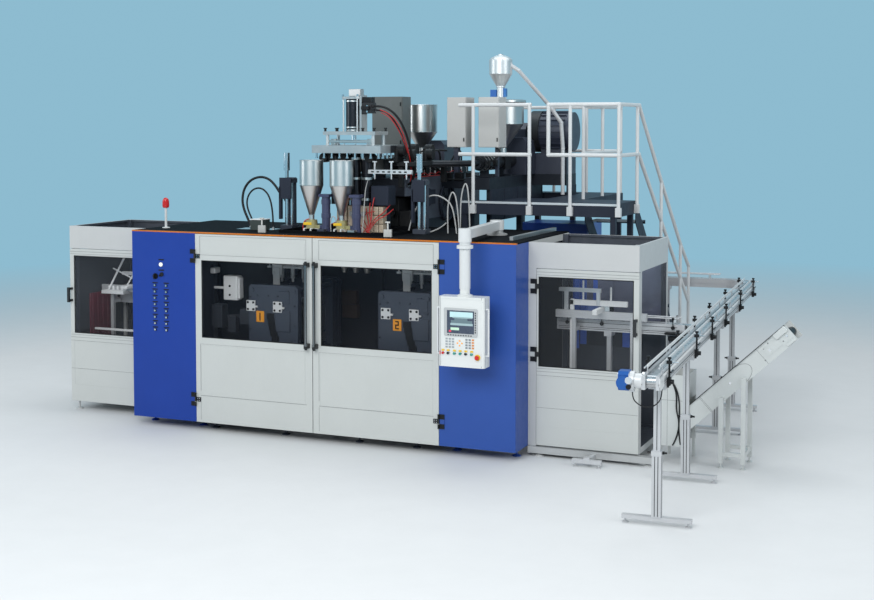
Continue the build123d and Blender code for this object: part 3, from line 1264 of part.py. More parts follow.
# Scrap conveyor, drawn level and then tilted about its foot
scrap_place = Pos(scrap_foot[0], scrap_y, scrap_foot[1]) * Rot(0, -scrap_angle, 0)


def scrap_conveyor():
    half = scrap_width / 2
    length = scrap_length
    sides = None
    for side in (-1, 1):
        y = (side * half, side * (half + 8))
        plate = block((0, length), y, (-scrap_side_height / 2, scrap_side_height / 2))
        plate += block((0, length), (side * half, side * (half + 26)),
                       (scrap_side_height / 2 - 8, scrap_side_height / 2))
        sides = plate if sides is None else sides + plate
    sides -= rod((60, -300, 0), (60, 300, 0), 12 + bore_gap)
    sides -= rod((length - 60, -300, 0), (length - 60, 300, 0), 12 + bore_gap)
    for x in (240, 760, 1280):
        sides += block((x - 20, x + 20), (-half, half), (-12, 12))
    sides += block((length - 330, length - 150), (-half - 14, -half - 8), (-40, 40))
    tilted = scrap_place * sides
    sin_a, cos_a = math.sin(math.radians(scrap_angle)), math.cos(math.radians(scrap_angle))
    stand = None
    for s in (560, 860):
        x = scrap_foot[0] + s * cos_a + scrap_side_height / 2 * sin_a
        z = scrap_foot[1] + s * sin_a - scrap_side_height / 2 * cos_a
        for side in (-1, 1):
            y = (scrap_y + side * (half + 8), scrap_y + side * (half + 48))
            post = block((x - 22, x + 22), y, (50, z + 60))
            post += turned([(0, 0), (28, 0), (28, 8), (9, 16), (9, 50), (0, 50)], x, sum(y) / 2)
            stand = post if stand is None else stand + post
    x0 = scrap_foot[0] + 560 * cos_a + scrap_side_height / 2 * sin_a
    x1 = scrap_foot[0] + 860 * cos_a + scrap_side_height / 2 * sin_a
    for side in (-1, 1):
        y = (scrap_y + side * (half + 14), scrap_y + side * (half + 42))
        stand += block((x0, x1), y, (120, 160))
    stand += block((x1 - 15, x1 + 15), (scrap_y - half - 8, scrap_y + half + 8), (120, 160))
    hood_y = (scrap_y - half - 60, scrap_y + half + 60)
    hood = block((3612, 3900), hood_y, (180, 900))
    hood -= block((3616, 3896), (hood_y[0] + 4, hood_y[1] - 4), (180, 900))
    hood -= block((3890, 3900), (hood_y[0] + 4, hood_y[1] - 4), (180, 640))
    for x in (3630, 3882):
        for y in (hood_y[0] + 16, hood_y[1] - 16):
            hood += block((x - 14, x + 14), (y - 14, y + 14), (0, 900))
    for side in (-1, 1):
        hood += block((3868, 3896), (scrap_y + side * (half + 8), scrap_y + side * (half + 30)), (425, 455))
    keep("scrap_conveyor", tilted, stand, hood)
    belt_gap = 1
    outer = drum_radius + belt_gap + 5
    inner = drum_radius + belt_gap
    width = half - 12
    loop = None
    for radius in (outer, inner):
        band = block((60, length - 60), (-width, width), (-radius, radius))
        band += rod((60, -width, 0), (60, width, 0), radius)
        band += rod((length - 60, -width, 0), (length - 60, width, 0), radius)
        loop = band if loop is None else loop - band
    keep("scrap_belt", scrap_place * loop)
    for name, x in (("scrap_tail_drum", 60), ("scrap_drive_drum", length - 60)):
        drum = rod((x, -width, 0), (x, width, 0), drum_radius)
        drum += rod((x, -half - 8, 0), (x, half + 8, 0), 12)
        keep(name, scrap_place * drum)


# Free hoses and the drive's cable, each a tube of straight runs joined by tangent arcs
def cord(name, points, radius):
    path = [Vector(*p) for p in points]
    radii = []
    for a, b, c in zip(path, path[1:], path[2:]):
        turn = math.radians((b - a).get_angle(c - b))
        shorter = min((b - a).length, (c - b).length)
        radii.append(0.45 * shorter / math.tan(turn / 2))
    line = FilletPolyline(*path, radius=radii)
    start = Plane(origin=line @ 0, z_dir=line % 0)
    tube = sweep(start * Circle(radius), path=line)
    ratio = tube.volume / (math.pi * radius ** 2 * line.length)
    print(f"{name}: length {line.length:.0f}, smallest radius {min(radii):.0f}, volume ratio {ratio:.4f}")
    keep(name, tube)
    cords.append(name)


def hoses():
    cord("hose_loop_outer", loop_outer, loop_outer_radius)
    cord("hose_loop_inner", loop_inner, loop_inner_radius)
    cord("head_hose_front", head_front, head_front_radius)
    cord("head_hose_rear", head_rear, head_rear_radius)
    cord("motor_cable", motor_cable, cable_radius)


def build():
    base_frame()
    guard_frame()
    roof_deck()
    left_cabinet()
    keep("right_cabinet", cabinet_shell(1))
    beacon()
    doors()
    wings()
    fixed_leaves()
    operator_panel()
    clamp_station("left", -1)
    clamp_station("right", 1)
    die_head()
    head_tower()
    hoppers()
    extruder_frame()
    extruder_drive()
    extruder_barrel()
    control_boxes()
    platform()
    handrails()
    outfeed_conveyor()
    chain()
    conveyor_drive()
    scrap_conveyor()
    hoses()


build()
boxes = [shape.bounding_box() for name, shape in nodes.items() if name not in cords]
low_corner = [min(getattr(b.min, axis) for b in boxes) for axis in "XYZ"]
high_corner = [max(getattr(b.max, axis) for b in boxes) for axis in "XYZ"]
origin = (-(low_corner[0] + high_corner[0]) / 2, -(low_corner[1] + high_corner[1]) / 2, -low_corner[2])
os.makedirs("parts", exist_ok=True)
for name, shape in nodes.items():
    nodes[name] = Pos(*origin) * shape
    export_step(nodes[name], f"parts/{name}.step")
print(len(nodes), "nodes, origin moved by", [round(v, 3) for v in origin])
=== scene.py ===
import math

import bpy
import bmesh
from mathutils import Matrix, Vector


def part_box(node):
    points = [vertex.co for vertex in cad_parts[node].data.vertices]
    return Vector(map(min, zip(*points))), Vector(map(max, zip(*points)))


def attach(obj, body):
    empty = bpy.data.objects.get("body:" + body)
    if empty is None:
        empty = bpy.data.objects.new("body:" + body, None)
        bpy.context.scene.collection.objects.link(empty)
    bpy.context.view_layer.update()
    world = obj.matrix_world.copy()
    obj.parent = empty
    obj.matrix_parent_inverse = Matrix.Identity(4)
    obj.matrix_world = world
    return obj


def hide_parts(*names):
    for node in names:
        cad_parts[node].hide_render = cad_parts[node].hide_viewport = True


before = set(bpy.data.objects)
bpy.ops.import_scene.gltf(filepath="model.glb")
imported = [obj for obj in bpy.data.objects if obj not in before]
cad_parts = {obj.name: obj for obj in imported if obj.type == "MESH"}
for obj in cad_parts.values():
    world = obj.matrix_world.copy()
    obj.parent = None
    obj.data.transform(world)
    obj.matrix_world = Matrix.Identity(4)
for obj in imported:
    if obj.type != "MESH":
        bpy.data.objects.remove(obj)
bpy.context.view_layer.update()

# The photo was fitted about the front door gap, so lengths below are millimetres from there
hinge_x = 1.465
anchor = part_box("right_cabinet")[0] - Vector((hinge_x, 0, 0))
smooth_angle = math.radians(32)
roof_top = 2213
door_hinge_heights, wing_hinge_heights = (352, 1948), (1050, 1750)
head_spots, column_spots, hopper_spots = (-20, 120, 260), (-720, 920), (-245, 124)


def place(x, y, z):
    """Millimetres from the front door gap to metres in the row frame."""
    return anchor + Vector((x, y, z)) / 1000


# Camera, fitted to the photo
photo_width, focal_pixels, shift_pixels = 874, 1373.056, -100
yaw, pitch = math.radians(23.117), math.radians(3.137)
eye = Vector((6.930, -12.853, 3.396))
forward = Vector((-math.sin(yaw) * math.cos(pitch), math.cos(yaw) * math.cos(pitch), -math.sin(pitch)))
side = Vector((math.cos(yaw), math.sin(yaw), 0))
up = side.cross(forward)
lens = bpy.data.cameras.new("camera")
lens.sensor_width = 36
lens.lens = lens.sensor_width * focal_pixels / photo_width
lens.shift_y = shift_pixels / photo_width
lens.clip_start, lens.clip_end = 0.1, 200
camera = bpy.data.objects.new("camera", lens)
camera.matrix_world = Matrix.Translation(anchor + eye) @ Matrix((side, up, -forward)).transposed().to_4x4()
bpy.context.collection.objects.link(camera)
bpy.context.scene.camera = camera
bpy.context.scene.view_settings.view_transform = "Standard"


# Materials
def feed(tree, socket, value):
    """Links an output to a socket, or sets the socket to a plain value."""
    if isinstance(value, bpy.types.NodeSocket):
        tree.links.new(value, socket)
    else:
        socket.default_value = value


def node(tree, kind, **values):
    made = tree.nodes.new("ShaderNode" + kind)
    for key, value in values.items():
        setattr(made, key, value)
    return made


def math_node(tree, operation, *values):
    made = node(tree, "Math", operation=operation)
    for socket, value in zip(made.inputs, values):
        feed(tree, socket, value)
    return made.outputs[0]


def vector_node(tree, operation, *values):
    made = node(tree, "VectorMath", operation=operation)
    for socket, value in zip(made.inputs, values):
        feed(tree, socket, value)
    return made.outputs["Value" if operation == "LENGTH" else "Vector"]


def noise(tree, vector, scale, detail=3.0, rough=0.5, stretch=None):
    if stretch:
        mapping = node(tree, "Mapping")
        mapping.inputs["Scale"].default_value = stretch
        feed(tree, mapping.inputs["Vector"], vector)
        vector = mapping.outputs[0]
    made = node(tree, "TexNoise")
    for key, value in (("Scale", scale), ("Detail", detail), ("Roughness", rough), ("Vector", vector)):
        feed(tree, made.inputs[key], value)
    return made.outputs["Fac"]


def remap(tree, value, *limits):
    """A value between the first two limits goes to between the last two."""
    made = node(tree, "MapRange")
    for socket, given in zip(made.inputs, (value, *limits)):
        feed(tree, socket, given)
    return made.outputs[0]


def blend(tree, factor, a, b, kind="RGBA"):
    """a where the factor is 0 and b where it is 1, as colours or with kind FLOAT as numbers."""
    made = node(tree, "Mix", data_type=kind)
    first, result = (6, 2) if kind == "RGBA" else (2, 0)
    for i, value in ((0, factor), (first, a), (first + 1, b)):
        feed(tree, made.inputs[i], (*value, 1) if isinstance(value, tuple) else value)
    return made.outputs[result]


def box_mask(tree, vector, low, high):
    """1 inside a box given in millimetres from the door gap."""
    low, high = place(*low), place(*high)
    size = vector_node(tree, "ABSOLUTE", vector_node(tree, "SUBTRACT", vector, (low + high) / 2))
    parts = node(tree, "SeparateXYZ")
    feed(tree, parts.inputs[0], vector_node(tree, "SUBTRACT", size, (high - low) / 2))
    x, y, z = parts.outputs
    return math_node(tree, "LESS_THAN", math_node(tree, "MAXIMUM", math_node(tree, "MAXIMUM", x, y), z), 0)


def round_mask(tree, vector, centre, radius, axis, span):
    """1 inside a cylinder about a centre, along an axis, between two heights on that axis."""
    far = 20000
    flat, low, high = [1] * 3, [-far] * 3, [far] * 3
    flat[axis] = 0
    low[axis], high[axis] = span
    middle = vector_node(tree, "SUBTRACT", vector, place(*centre))
    length = vector_node(tree, "LENGTH", vector_node(tree, "MULTIPLY", middle, flat))
    near = math_node(tree, "LESS_THAN", length, radius / 1000)
    return math_node(tree, "MULTIPLY", near, box_mask(tree, vector, low, high))


# Each grain's noise (scale, detail, roughness, stretch) and its bump (strength, depth in metres)
grains = {
    "peel": (420.0, 2.0, 0.5, None, 0.10, 0.0004),
    "brushed": (40.0, 2.0, 0.5, (18, 18, 0.6), 0.04, 0.00003),
    "cast": (160.0, 6.0, 0.7, None, 0.3, 0.0008),
    "pane": (5.0, 1.0, 0.4, None, 0.05, 0.002),
    "plastic": (260.0, 3.0, 0.6, None, 0.15, 0.0004),
}


def finish_of(name, colour, rough=0.4, metal=0.0, grain="peel", vary=0.06, zones=(), wear=0.0, alpha=None,
              gloss=0.5):
    """A procedural material with clouded colour and roughness, a grain, and zones of another finish."""
    made = bpy.data.materials.new(name)
    made.use_nodes = True
    tree = made.node_tree
    shader = tree.nodes["Principled BSDF"]
    vector = node(tree, "TexCoord").outputs["Object"]
    base, rough_value, metal_value = colour, rough, metal
    for mask_kind, shape, zone_colour, zone_rough, zone_metal in zones:
        mask = mask_kind(tree, vector, *shape)
        base = blend(tree, mask, base, zone_colour)
        rough_value = blend(tree, mask, rough_value, zone_rough, "FLOAT")
        metal_value = blend(tree, mask, metal_value, zone_metal, "FLOAT")
    cloud = noise(tree, vector, 2.3, 5.0, 0.6)
    speck = noise(tree, vector, 70.0, 3.0, 0.6)
    shade = math_node(tree, "ADD", remap(tree, cloud, 0.3, 0.7, 1 - vary, 1 + vary * 0.4),
                      remap(tree, speck, 0.3, 0.7, -vary * 0.35, vary * 0.35))
    toned = node(tree, "VectorMath", operation="SCALE")
    feed(tree, toned.inputs[0], base)
    feed(tree, toned.inputs["Scale"], shade)
    result = toned.outputs[0]
    if wear:
        streak = noise(tree, vector, 9.0, 6.0, 0.7, stretch=(1, 1, 0.25))
        dust = remap(tree, streak, 0.52, 0.75, 0, wear)
        result = blend(tree, dust, result, tuple(0.45 * c + 0.05 for c in colour))
    feed(tree, shader.inputs["Base Color"], result)
    reach = 0.012 if grain == "brushed" else 0.05
    spread = remap(tree, noise(tree, vector, 14.0, 4.0, 0.6), 0.3, 0.7, -reach, reach)
    feed(tree, shader.inputs["Roughness"], math_node(tree, "ADD", rough_value, spread))
    feed(tree, shader.inputs["Metallic"], metal_value)
    *grain_noise, strength, depth = grains[grain]
    bump = node(tree, "Bump")
    feed(tree, bump.inputs["Height"], noise(tree, vector, *grain_noise))
    bump.inputs["Strength"].default_value = strength
    bump.inputs["Distance"].default_value = depth
    feed(tree, shader.inputs["Normal"], bump.outputs[0])
    if grain == "peel":
        shader.inputs["Coat Weight"].default_value = 0.12 if gloss > 0.4 else 0.0
        shader.inputs["Coat Roughness"].default_value = 0.25
    shader.inputs["Specular IOR Level"].default_value = gloss
    if alpha is not None:
        shader.inputs["Alpha"].default_value = alpha
    return made


def zone(x, y, z, colour, rough=0.4, metal=0.0):
    """A boxed part of a surface that has its own finish."""
    return box_mask, tuple(zip(*map(sorted, (x, y, z)))), colour, rough, metal


def both(x, y, z, *finish):
    """A zone at the right and its mirror image at the left."""
    return [zone((sign * x[0], sign * x[1]), y, z, *finish) for sign in (-1, 1)]


def round_zone(centre, radius, axis, span, colour, rough=0.4, metal=0.0):
    """A round part of a surface that has its own finish."""
    return round_mask, (centre, radius, axis, span), colour, rough, metal


def glow_of(name, colour, strength):
    made = finish_of(name, colour, 0.3, 0, "plastic", 0.05)
    shader = made.node_tree.nodes["Principled BSDF"]
    shader.inputs["Emission Color"].default_value = (*colour, 1)
    shader.inputs["Emission Strength"].default_value = strength
    return made


pale = (0.485, 0.508, 0.497)
blue_left = (0.011, 0.044, 0.275)
# The right cabinet's blue is the same paint made lighter: painted sheen
blue_right_with_sheen = (0.023, 0.072, 0.305)
slate = (0.022, 0.028, 0.044)
black = (0.006, 0.006, 0.007)
white = (0.60, 0.625, 0.635)
steel_tone = (0.60, 0.595, 0.58)
# Dark colour for faces inside the enclosures: painted shade
inside = (0.014, 0.017, 0.026)
orange = (0.55, 0.16, 0.02)

# Dark colour for the walls inside the wing rooms: painted shade
room = (0.045, 0.052, 0.068)
polished = (0.75, 0.76, 0.78)
machine_navy = (0.03, 0.036, 0.06)
hopper_navy = (0.040, 0.046, 0.10)
gate_brass = (0.36, 0.33, 0.16)
shell_seam = (0.16, 0.18, 0.20)
switch_teal = (0.02, 0.24, 0.20)
m_wing = finish_of("wing_coat", (0.47, 0.485, 0.487), 0.38, vary=0.03, zones=[
    # Walls inside the wing rooms: painted shade
    *both((2301.5, 3458.6), (381.5, 1567.4), (133, 2199), room, 0.35),
    zone((2230, 3640), (330, 430), (20, 104), (0.44, 0.45, 0.45), 0.35, 0.3),
], wear=0.05)
m_door = finish_of("door_coat", pale, 0.36, vary=0.025, zones=[
    *both((1435, 1495), (-30, -0.3), (330, 2100), black, 0.5),
    *both((2376, 2440), (340, 379.6), (900, 1900), black, 0.5),
    *both((3400, 3462), (295, 379.6), (1280, 1490), black, 0.45),
    # Door faces behind the pane line, window reveals included: painted shade
    zone((-1400, 1400), (12, 60), (120, 2180), (0.08, 0.09, 0.11), 0.6),
], wear=0.04)
m_blue_left = finish_of("blue_coat_left", blue_left, 0.40, vary=0.05, gloss=0.22, zones=[
    zone((-2060, -1780), (-40, -0.5), (1080, 1920), (0.012, 0.012, 0.014)),
    # Cabinet side facing the door opening: painted shade
    zone((-1466.5, -1463), (52, 381), (90, 2190), inside, 0.6),
    round_zone((-1911, 0, 1836), 25, 1, (-60, -0.5), (0.75, 0.76, 0.72), 0.3),
], wear=0.03)
# Right cabinet blue, lighter by a painted sheen
m_blue = finish_of("blue_coat", blue_right_with_sheen, 0.38, vary=0.05, wear=0.03, gloss=0.3, zones=[
    # Cabinet side facing the door opening: painted shade
    zone((1463, 1466.5), (52, 381), (90, 2190), inside, 0.6),
])
m_guard = finish_of("guard_coat", pale, 0.42, vary=0.04, zones=[
    # Guard faces behind the doors: painted shade
    zone((-2290, 2290), (60, 1737.2), (90, 2190), inside, 0.6),
], gloss=0.5)
m_roof = finish_of("roof_coat", (0.0045, 0.005, 0.0065), 0.8, 0, "cast", 0.2, gloss=0.06, zones=[
    zone((-2310, 2310), (-5, 42), (2195, 2213), orange),
    zone((2100, 2160), (320, 1750), (2213, 2260), (0.55, 0.56, 0.56), 0.35, 0.9),
    zone((-820, -690), (220, 260), (2213, 2400), (0.6, 0.6, 0.58), 0.4, 0.3),
    zone((700, 840), (220, 260), (2213, 2400), (0.6, 0.6, 0.58), 0.4, 0.3),
    zone((-1300, -840), (600, 820), (2190, 2260), (0.6, 0.6, 0.6), 0.3, 1.0),
])
m_black = finish_of("black_plastic", black, 0.42, 0, "plastic", 0.15, gloss=0.3)
m_rubber = finish_of("black_rubber", (0.008, 0.008, 0.009), 0.5, 0, "plastic", 0.12, gloss=0.3)
m_slate = finish_of("slate_coat", slate, 0.5, vary=0.08, wear=0.06, gloss=0.15)
m_frame = finish_of("frame_coat", (0.014, 0.018, 0.026), 0.45, vary=0.10, gloss=0.2, zones=[
    # The frame's end face is painted lighter: painted light on a face the lamps leave in shade
    zone((535, 545), (1190, 3510), (2300, 2795), (0.095, 0.115, 0.15), 0.45),
    zone((545, 620), (1200, 1360), (2640, 2760), (0.6, 0.6, 0.6), 0.3, 1.0),
], wear=0.05)
hinge_zones = []
# The right hinge zones take the blue with painted sheen
for sign, blue in ((1, blue_right_with_sheen), (-1, blue_left)):
    for z in door_hinge_heights:
        hinge_zones.append(zone((sign * 1477, sign * 1530), (-9, 1), (z - 24, z + 24), blue))
    for z in wing_hinge_heights:
        hinge_zones.append(zone((sign * 2318, sign * 2375), (370, 381), (z - 24, z + 24), pale))
m_hinge = finish_of("hinge_leaf", black, 0.42, 0, "plastic", 0.12, gloss=0.3, zones=hinge_zones)
m_platen = finish_of("platen_coat", (0.050, 0.063, 0.090), 0.45, 0, "cast", 0.10, zones=[
    zone((-905, -455), (431, 1169), (890, 1405), (0.50, 0.50, 0.49), 0.3, 1.0),
    zone((695, 1145), (431, 1169), (890, 1405), (0.50, 0.50, 0.49), 0.3, 1.0),
], wear=0.10)
m_carriage = finish_of("carriage_coat", (0.04, 0.048, 0.072), 0.5, 0, "cast", 0.12, wear=0.1)
m_steel = finish_of("brushed_steel", steel_tone, 0.30, 1.0, "brushed", 0.08)
m_chrome = finish_of("chromed_steel", (0.72, 0.73, 0.75), 0.10, 1.0, "brushed", 0.03)
m_alu = finish_of("anodised_aluminium", (0.66, 0.67, 0.68), 0.34, 0.6, "brushed", 0.05)
m_white = finish_of("white_coat", white, 0.33, vary=0.03, wear=0.03)
m_grey = finish_of("grey_coat", (0.33, 0.34, 0.34), 0.42, vary=0.05, wear=0.05)
m_chain = finish_of("chain_slats", (0.45, 0.46, 0.47), 0.28, 0.75, "plastic", 0.10)
m_red = finish_of("red_plastic", (0.55, 0.012, 0.012), 0.22, 0, "plastic", 0.05)
m_yellow = finish_of("yellow_plastic", (0.75, 0.48, 0.02), 0.35, 0, "plastic", 0.05)
m_orange = finish_of("orange_plate", (0.95, 0.38, 0.02), 0.4, 0, "plastic", 0.04)
m_groove = finish_of("groove_shadow", (0.17, 0.18, 0.185), 0.5, 0, "plastic", 0.05)
m_bright = finish_of("bright_coat", (0.80, 0.815, 0.82), 0.32, 0.1, "peel", 0.03)
# Dark fill: painted shade for the backing sheets behind the wing panes; also the colour of the dark inner
# valves
m_fill = finish_of("backing_shade_and_valves", (0.040, 0.046, 0.058), 0.45, vary=0.12, gloss=0.3, wear=0.1)
m_mist = finish_of("mottled_panel", (0.17, 0.19, 0.28), 0.4, 0, "cast", 0.3, gloss=0.3, wear=0.3)
m_strip = finish_of("blue_strip", (0.075, 0.16, 0.60), 0.35, vary=0.08)
m_slot = finish_of("slot_shadow", (0.03, 0.032, 0.036), 0.5, 0, "plastic", 0.05)
m_curtain = finish_of("red_screen", (0.115, 0.014, 0.030), 0.35, vary=0.10)
m_beige = finish_of("heater_cover", (0.50, 0.42, 0.32), 0.45, 0.2, "cast", 0.12)
m_brown = finish_of("brown_duct", (0.09, 0.055, 0.04), 0.6, 0, "cast", 0.15)
m_red_wire = finish_of("red_wire", (0.45, 0.02, 0.02), 0.45, 0, "plastic", 0.08)
m_grey_wire = finish_of("grey_wire", (0.38, 0.39, 0.39), 0.45, 0, "plastic", 0.08)
m_glass = finish_of("tinted_pane", (0.012, 0.015, 0.022), 0.06, 0, "pane", 0.02, alpha=0.13, gloss=0.3)
m_clear = finish_of("clear_pane", (0.10, 0.11, 0.12), 0.05, 0, "pane", 0.02, alpha=0.08, gloss=0.35)


def dress(material, *names):
    for name in names:
        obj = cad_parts[name]
        for slot in obj.material_slots:
            slot.material = material
        if not obj.material_slots:
            obj.data.materials.append(material)


def soften(width, *names):
    """A small bevel on the sharp edges of rigid nodes."""
    for name in names:
        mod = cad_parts[name].modifiers.new("edge", "BEVEL")
        mod.width = width / 1000
        mod.segments = 1
        mod.limit_method = "ANGLE"
        mod.angle_limit = math.radians(50)
        mod.harden_normals = False


column_zones = []
for column_x in column_spots:
    column_zones += [
        round_zone((column_x - 20, 780, 0), 24, 2, (2263, 3100), polished, 0.08, 1.0),
        round_zone((column_x - 20, 780, 0), 38, 2, (2880, 3100), polished, 0.12, 1.0),
        round_zone((column_x + 48, 772, 0), 18, 2, (2263, 2790), polished, 0.08, 1.0),
    ]
m_tower = finish_of("tower_steel", (0.50, 0.51, 0.51), 0.34, 0.8, "cast", 0.06, zones=[
    round_zone((100, 800, 0), 92, 2, (3323, 3679), (0.018, 0.020, 0.026), 0.22, 0.6),
    zone((224, 400), (730, 870), (3510, 3650), (0.02, 0.02, 0.022), 0.4, 0.2),
    zone((-310, 545), (815, 1185), (3080, 3169.6), (0.022, 0.024, 0.028), 0.45, 0.2),
    zone((-800, -640), (720, 880), (2205, 2800), (0.035, 0.042, 0.06), 0.45),
    zone((840, 1000), (720, 880), (2205, 2800), (0.035, 0.042, 0.06), 0.45),
    *column_zones,
])
head_zones = [zone((-110, 350), (841, 1185), (2860, 3040), (0.02, 0.02, 0.024), 0.5, 0.3)]
for head_x in head_spots:
    head_zones += [
        zone((head_x - 66, head_x + 66), (720, 880), (2159, 2501), (0.48, 0.40, 0.31), 0.45, 0.1),
        round_zone((head_x, 800, 0), 70, 2, (2501, 3084), (0.022, 0.022, 0.027), 0.3, 0.7),
    ]
m_head = finish_of("die_steel", (0.42, 0.40, 0.37), 0.32, 0.9, "brushed", 0.08, zones=head_zones)
m_feed = finish_of("hopper_steel", (0.62, 0.605, 0.585), 0.30, 1.0, "brushed", 0.06, zones=[
    zone((-134, -1), (380, 520), (2140, 2645), hopper_navy, 0.35),
    zone((238, 368), (380, 520), (2140, 2645), hopper_navy, 0.35),
    zone((-320, -135), (380, 520), (2255, 2358), gate_brass, 0.4, 0.3),
    zone((50, 237), (380, 520), (2255, 2358), gate_brass, 0.4, 0.3),
    zone((-180, -1), (300, 379), (2200, 2270), (0.03, 0.035, 0.06)),
])
m_loader = finish_of("loader_steel", (0.66, 0.66, 0.655), 0.40, 0.75, "brushed", 0.06, zones=[
    zone((950, 1045), (2760, 2880), (3730, 3825), (0.02, 0.12, 0.42)),
    zone((1120, 1165), (2780, 2860), (3730, 3840), (0.03, 0.16, 0.45)),
    zone((1200, 1760), (2790, 3500), (2400, 4150), (0.62, 0.63, 0.64), 0.3, 0.2),
])
m_boxes = finish_of("cabinet_coat", (0.50, 0.51, 0.50), 0.4, vary=0.04, zones=[
    zone((1250, 2160), (2990, 3640), (60, 2210), (0.018, 0.07, 0.35), 0.35),
    zone((-280, 160), (1990, 2270), (3090, 3740), (0.105, 0.115, 0.112), 0.42),
    zone((-260, 130), (2000, 2260), (2700, 3099), machine_navy, 0.42),
    zone((690, 770), (2240, 2320), (2700, 3129), machine_navy, 0.42),
    zone((1200, 1250), (2290, 2350), (2700, 3129), machine_navy, 0.42),
], wear=0.04)
m_drive = finish_of("drive_coat", (0.035, 0.042, 0.065), 0.42, 0.1, "cast", 0.12, zones=[
    round_zone((0, 3705, 3310), 300, 0, (1195, 1342), (0.010, 0.010, 0.012), 0.5),
], wear=0.1)
m_barrel = finish_of("barrel_bands", (0.022, 0.023, 0.027), 0.38, 0.6, "cast", 0.2, wear=0.12)
m_conveyor = finish_of("conveyor_aluminium", (0.52, 0.53, 0.545), 0.34, 0.35, "brushed", 0.05)
m_gear = finish_of("gear_blue", (0.012, 0.085, 0.32), 0.35, 0, "cast", 0.08, gloss=0.35, zones=[
    zone((3968, 4300), (-1900, -1500), (1150, 1400), (0.62, 0.64, 0.65), 0.35, 0.1),
])
m_scrap = finish_of("scrap_aluminium", (0.58, 0.60, 0.59), 0.36, 0.35, "brushed", 0.05)
m_beacon = finish_of("beacon", white, 0.3, 0, "plastic", 0.03, zones=[
    zone((-2180, -2060), (350, 470), (2446, 2600), (0.50, 0.012, 0.012), 0.15),
])
m_panel = finish_of("panel_shell", (0.65, 0.675, 0.67), 0.32, vary=0.02, zones=[
    zone((1649, 1653), (-412, -396), (1010, 1700), shell_seam),
    zone((2085, 2089), (-412, -396), (1010, 1700), shell_seam),
    zone((2109, 2118), (-370, -364), (1010, 1700), shell_seam),
    zone((2109, 2118), (-290, -285), (1010, 1700), shell_seam),
    zone((1620, 2120), (-412, -396), (1660, 1663), (0.30, 0.33, 0.34)),
    zone((1640, 1712), (-430, -395), (1120, 1158), (0.5, 0.01, 0.01), 0.25),
    zone((1714, 1766), (-430, -395), (1120, 1158), black, 0.3),
    zone((1780, 1880), (-430, -395), (1120, 1158), switch_teal, 0.3),
    zone((1900, 1942), (-430, -395), (1120, 1158), black, 0.3),
    zone((1963, 2003), (-430, -395), (1120, 1158), switch_teal, 0.3),
    round_zone((2045, 0, 1112), 31, 1, (-430, -395.5), (0.75, 0.50, 0.02), 0.35),
    zone((1650, 2010), (-399, -396), (1159, 1174), (0.10, 0.10, 0.11)),
    zone((1700, 1800), (-399, -396), (1186, 1300), (0.30, 0.33, 0.35)),
    zone((1910, 1975), (-399, -396), (1186, 1300), (0.20, 0.22, 0.24)),
    zone((1975, 2010), (-399, -396), (1186, 1300), (0.60, 0.22, 0.06)),
])
m_handle = finish_of("handle_tube", black, 0.4, 0, "plastic", 0.05, zones=[
    zone((-60, 60), (-90, -42), (1042, 1904), (0.20, 0.205, 0.21), 0.22, 1.0),
])
m_screen = finish_of("screen_frame", (0.42, 0.44, 0.45), 0.3, 0, "plastic", 0.03, zones=[
    zone((1718, 2016), (-402, -386), (1335, 1573), (0.05, 0.065, 0.10), 0.25),
])

dress(m_door, "left_door", "right_door", "left_wing_door", "right_wing_door")
dress(m_wing, "left_wing", "right_wing")
dress(m_blue_left, "left_cabinet")
dress(m_blue, "right_cabinet")
dress(m_guard, "guard_frame")
dress(m_roof, "roof_deck")
dress(m_black, "selector_knob")
dress(m_hinge, "fixed_hinge_leaves")
dress(m_handle, "left_door_handle", "right_door_handle")
dress(m_glass, "left_door_glass", "right_door_glass")
dress(m_clear, "left_wing_door_glass", "right_wing_door_glass", "fixed_panes")
dress(m_beacon, "beacon_light")
dress(m_white, "panel_arm", "handrails")
dress(m_grey, "panel_mount")
dress(m_panel, "panel_housing")
dress(m_screen, "panel_screen")
dress(m_red, "emergency_stop")
dress(m_carriage, "left_carriage", "right_carriage", "base_frame")
dress(m_platen, "left_front_platen", "left_rear_platen", "right_front_platen", "right_rear_platen")
dress(m_bright, "left_blow_pins", "right_blow_pins")
dress(m_steel, "extruder_screw", "drive_sprocket", "idler_sprocket",
      "scrap_drive_drum", "scrap_tail_drum")
dress(m_frame, "extruder_frame")
dress(m_drive, "extruder_drive")
dress(m_barrel, "extruder_barrel")
dress(m_head, "die_head")
dress(m_tower, "head_tower")
dress(m_chrome, "head_rod")
dress(m_feed, "feed_hoppers")
dress(m_loader, "vacuum_loader")
dress(m_boxes, "control_boxes")
dress(m_slate, "platform")
dress(m_conveyor, "conveyor_frame")
dress(m_chain, "conveyor_chain")
dress(m_gear, "conveyor_drive")
dress(m_scrap, "scrap_conveyor")
dress(m_rubber, "scrap_belt")
for name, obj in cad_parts.items():
    obj.data.shade_smooth()
    obj.data.set_sharp_from_angle(angle=smooth_angle)


platen_face = 349.5
room_back = 1551


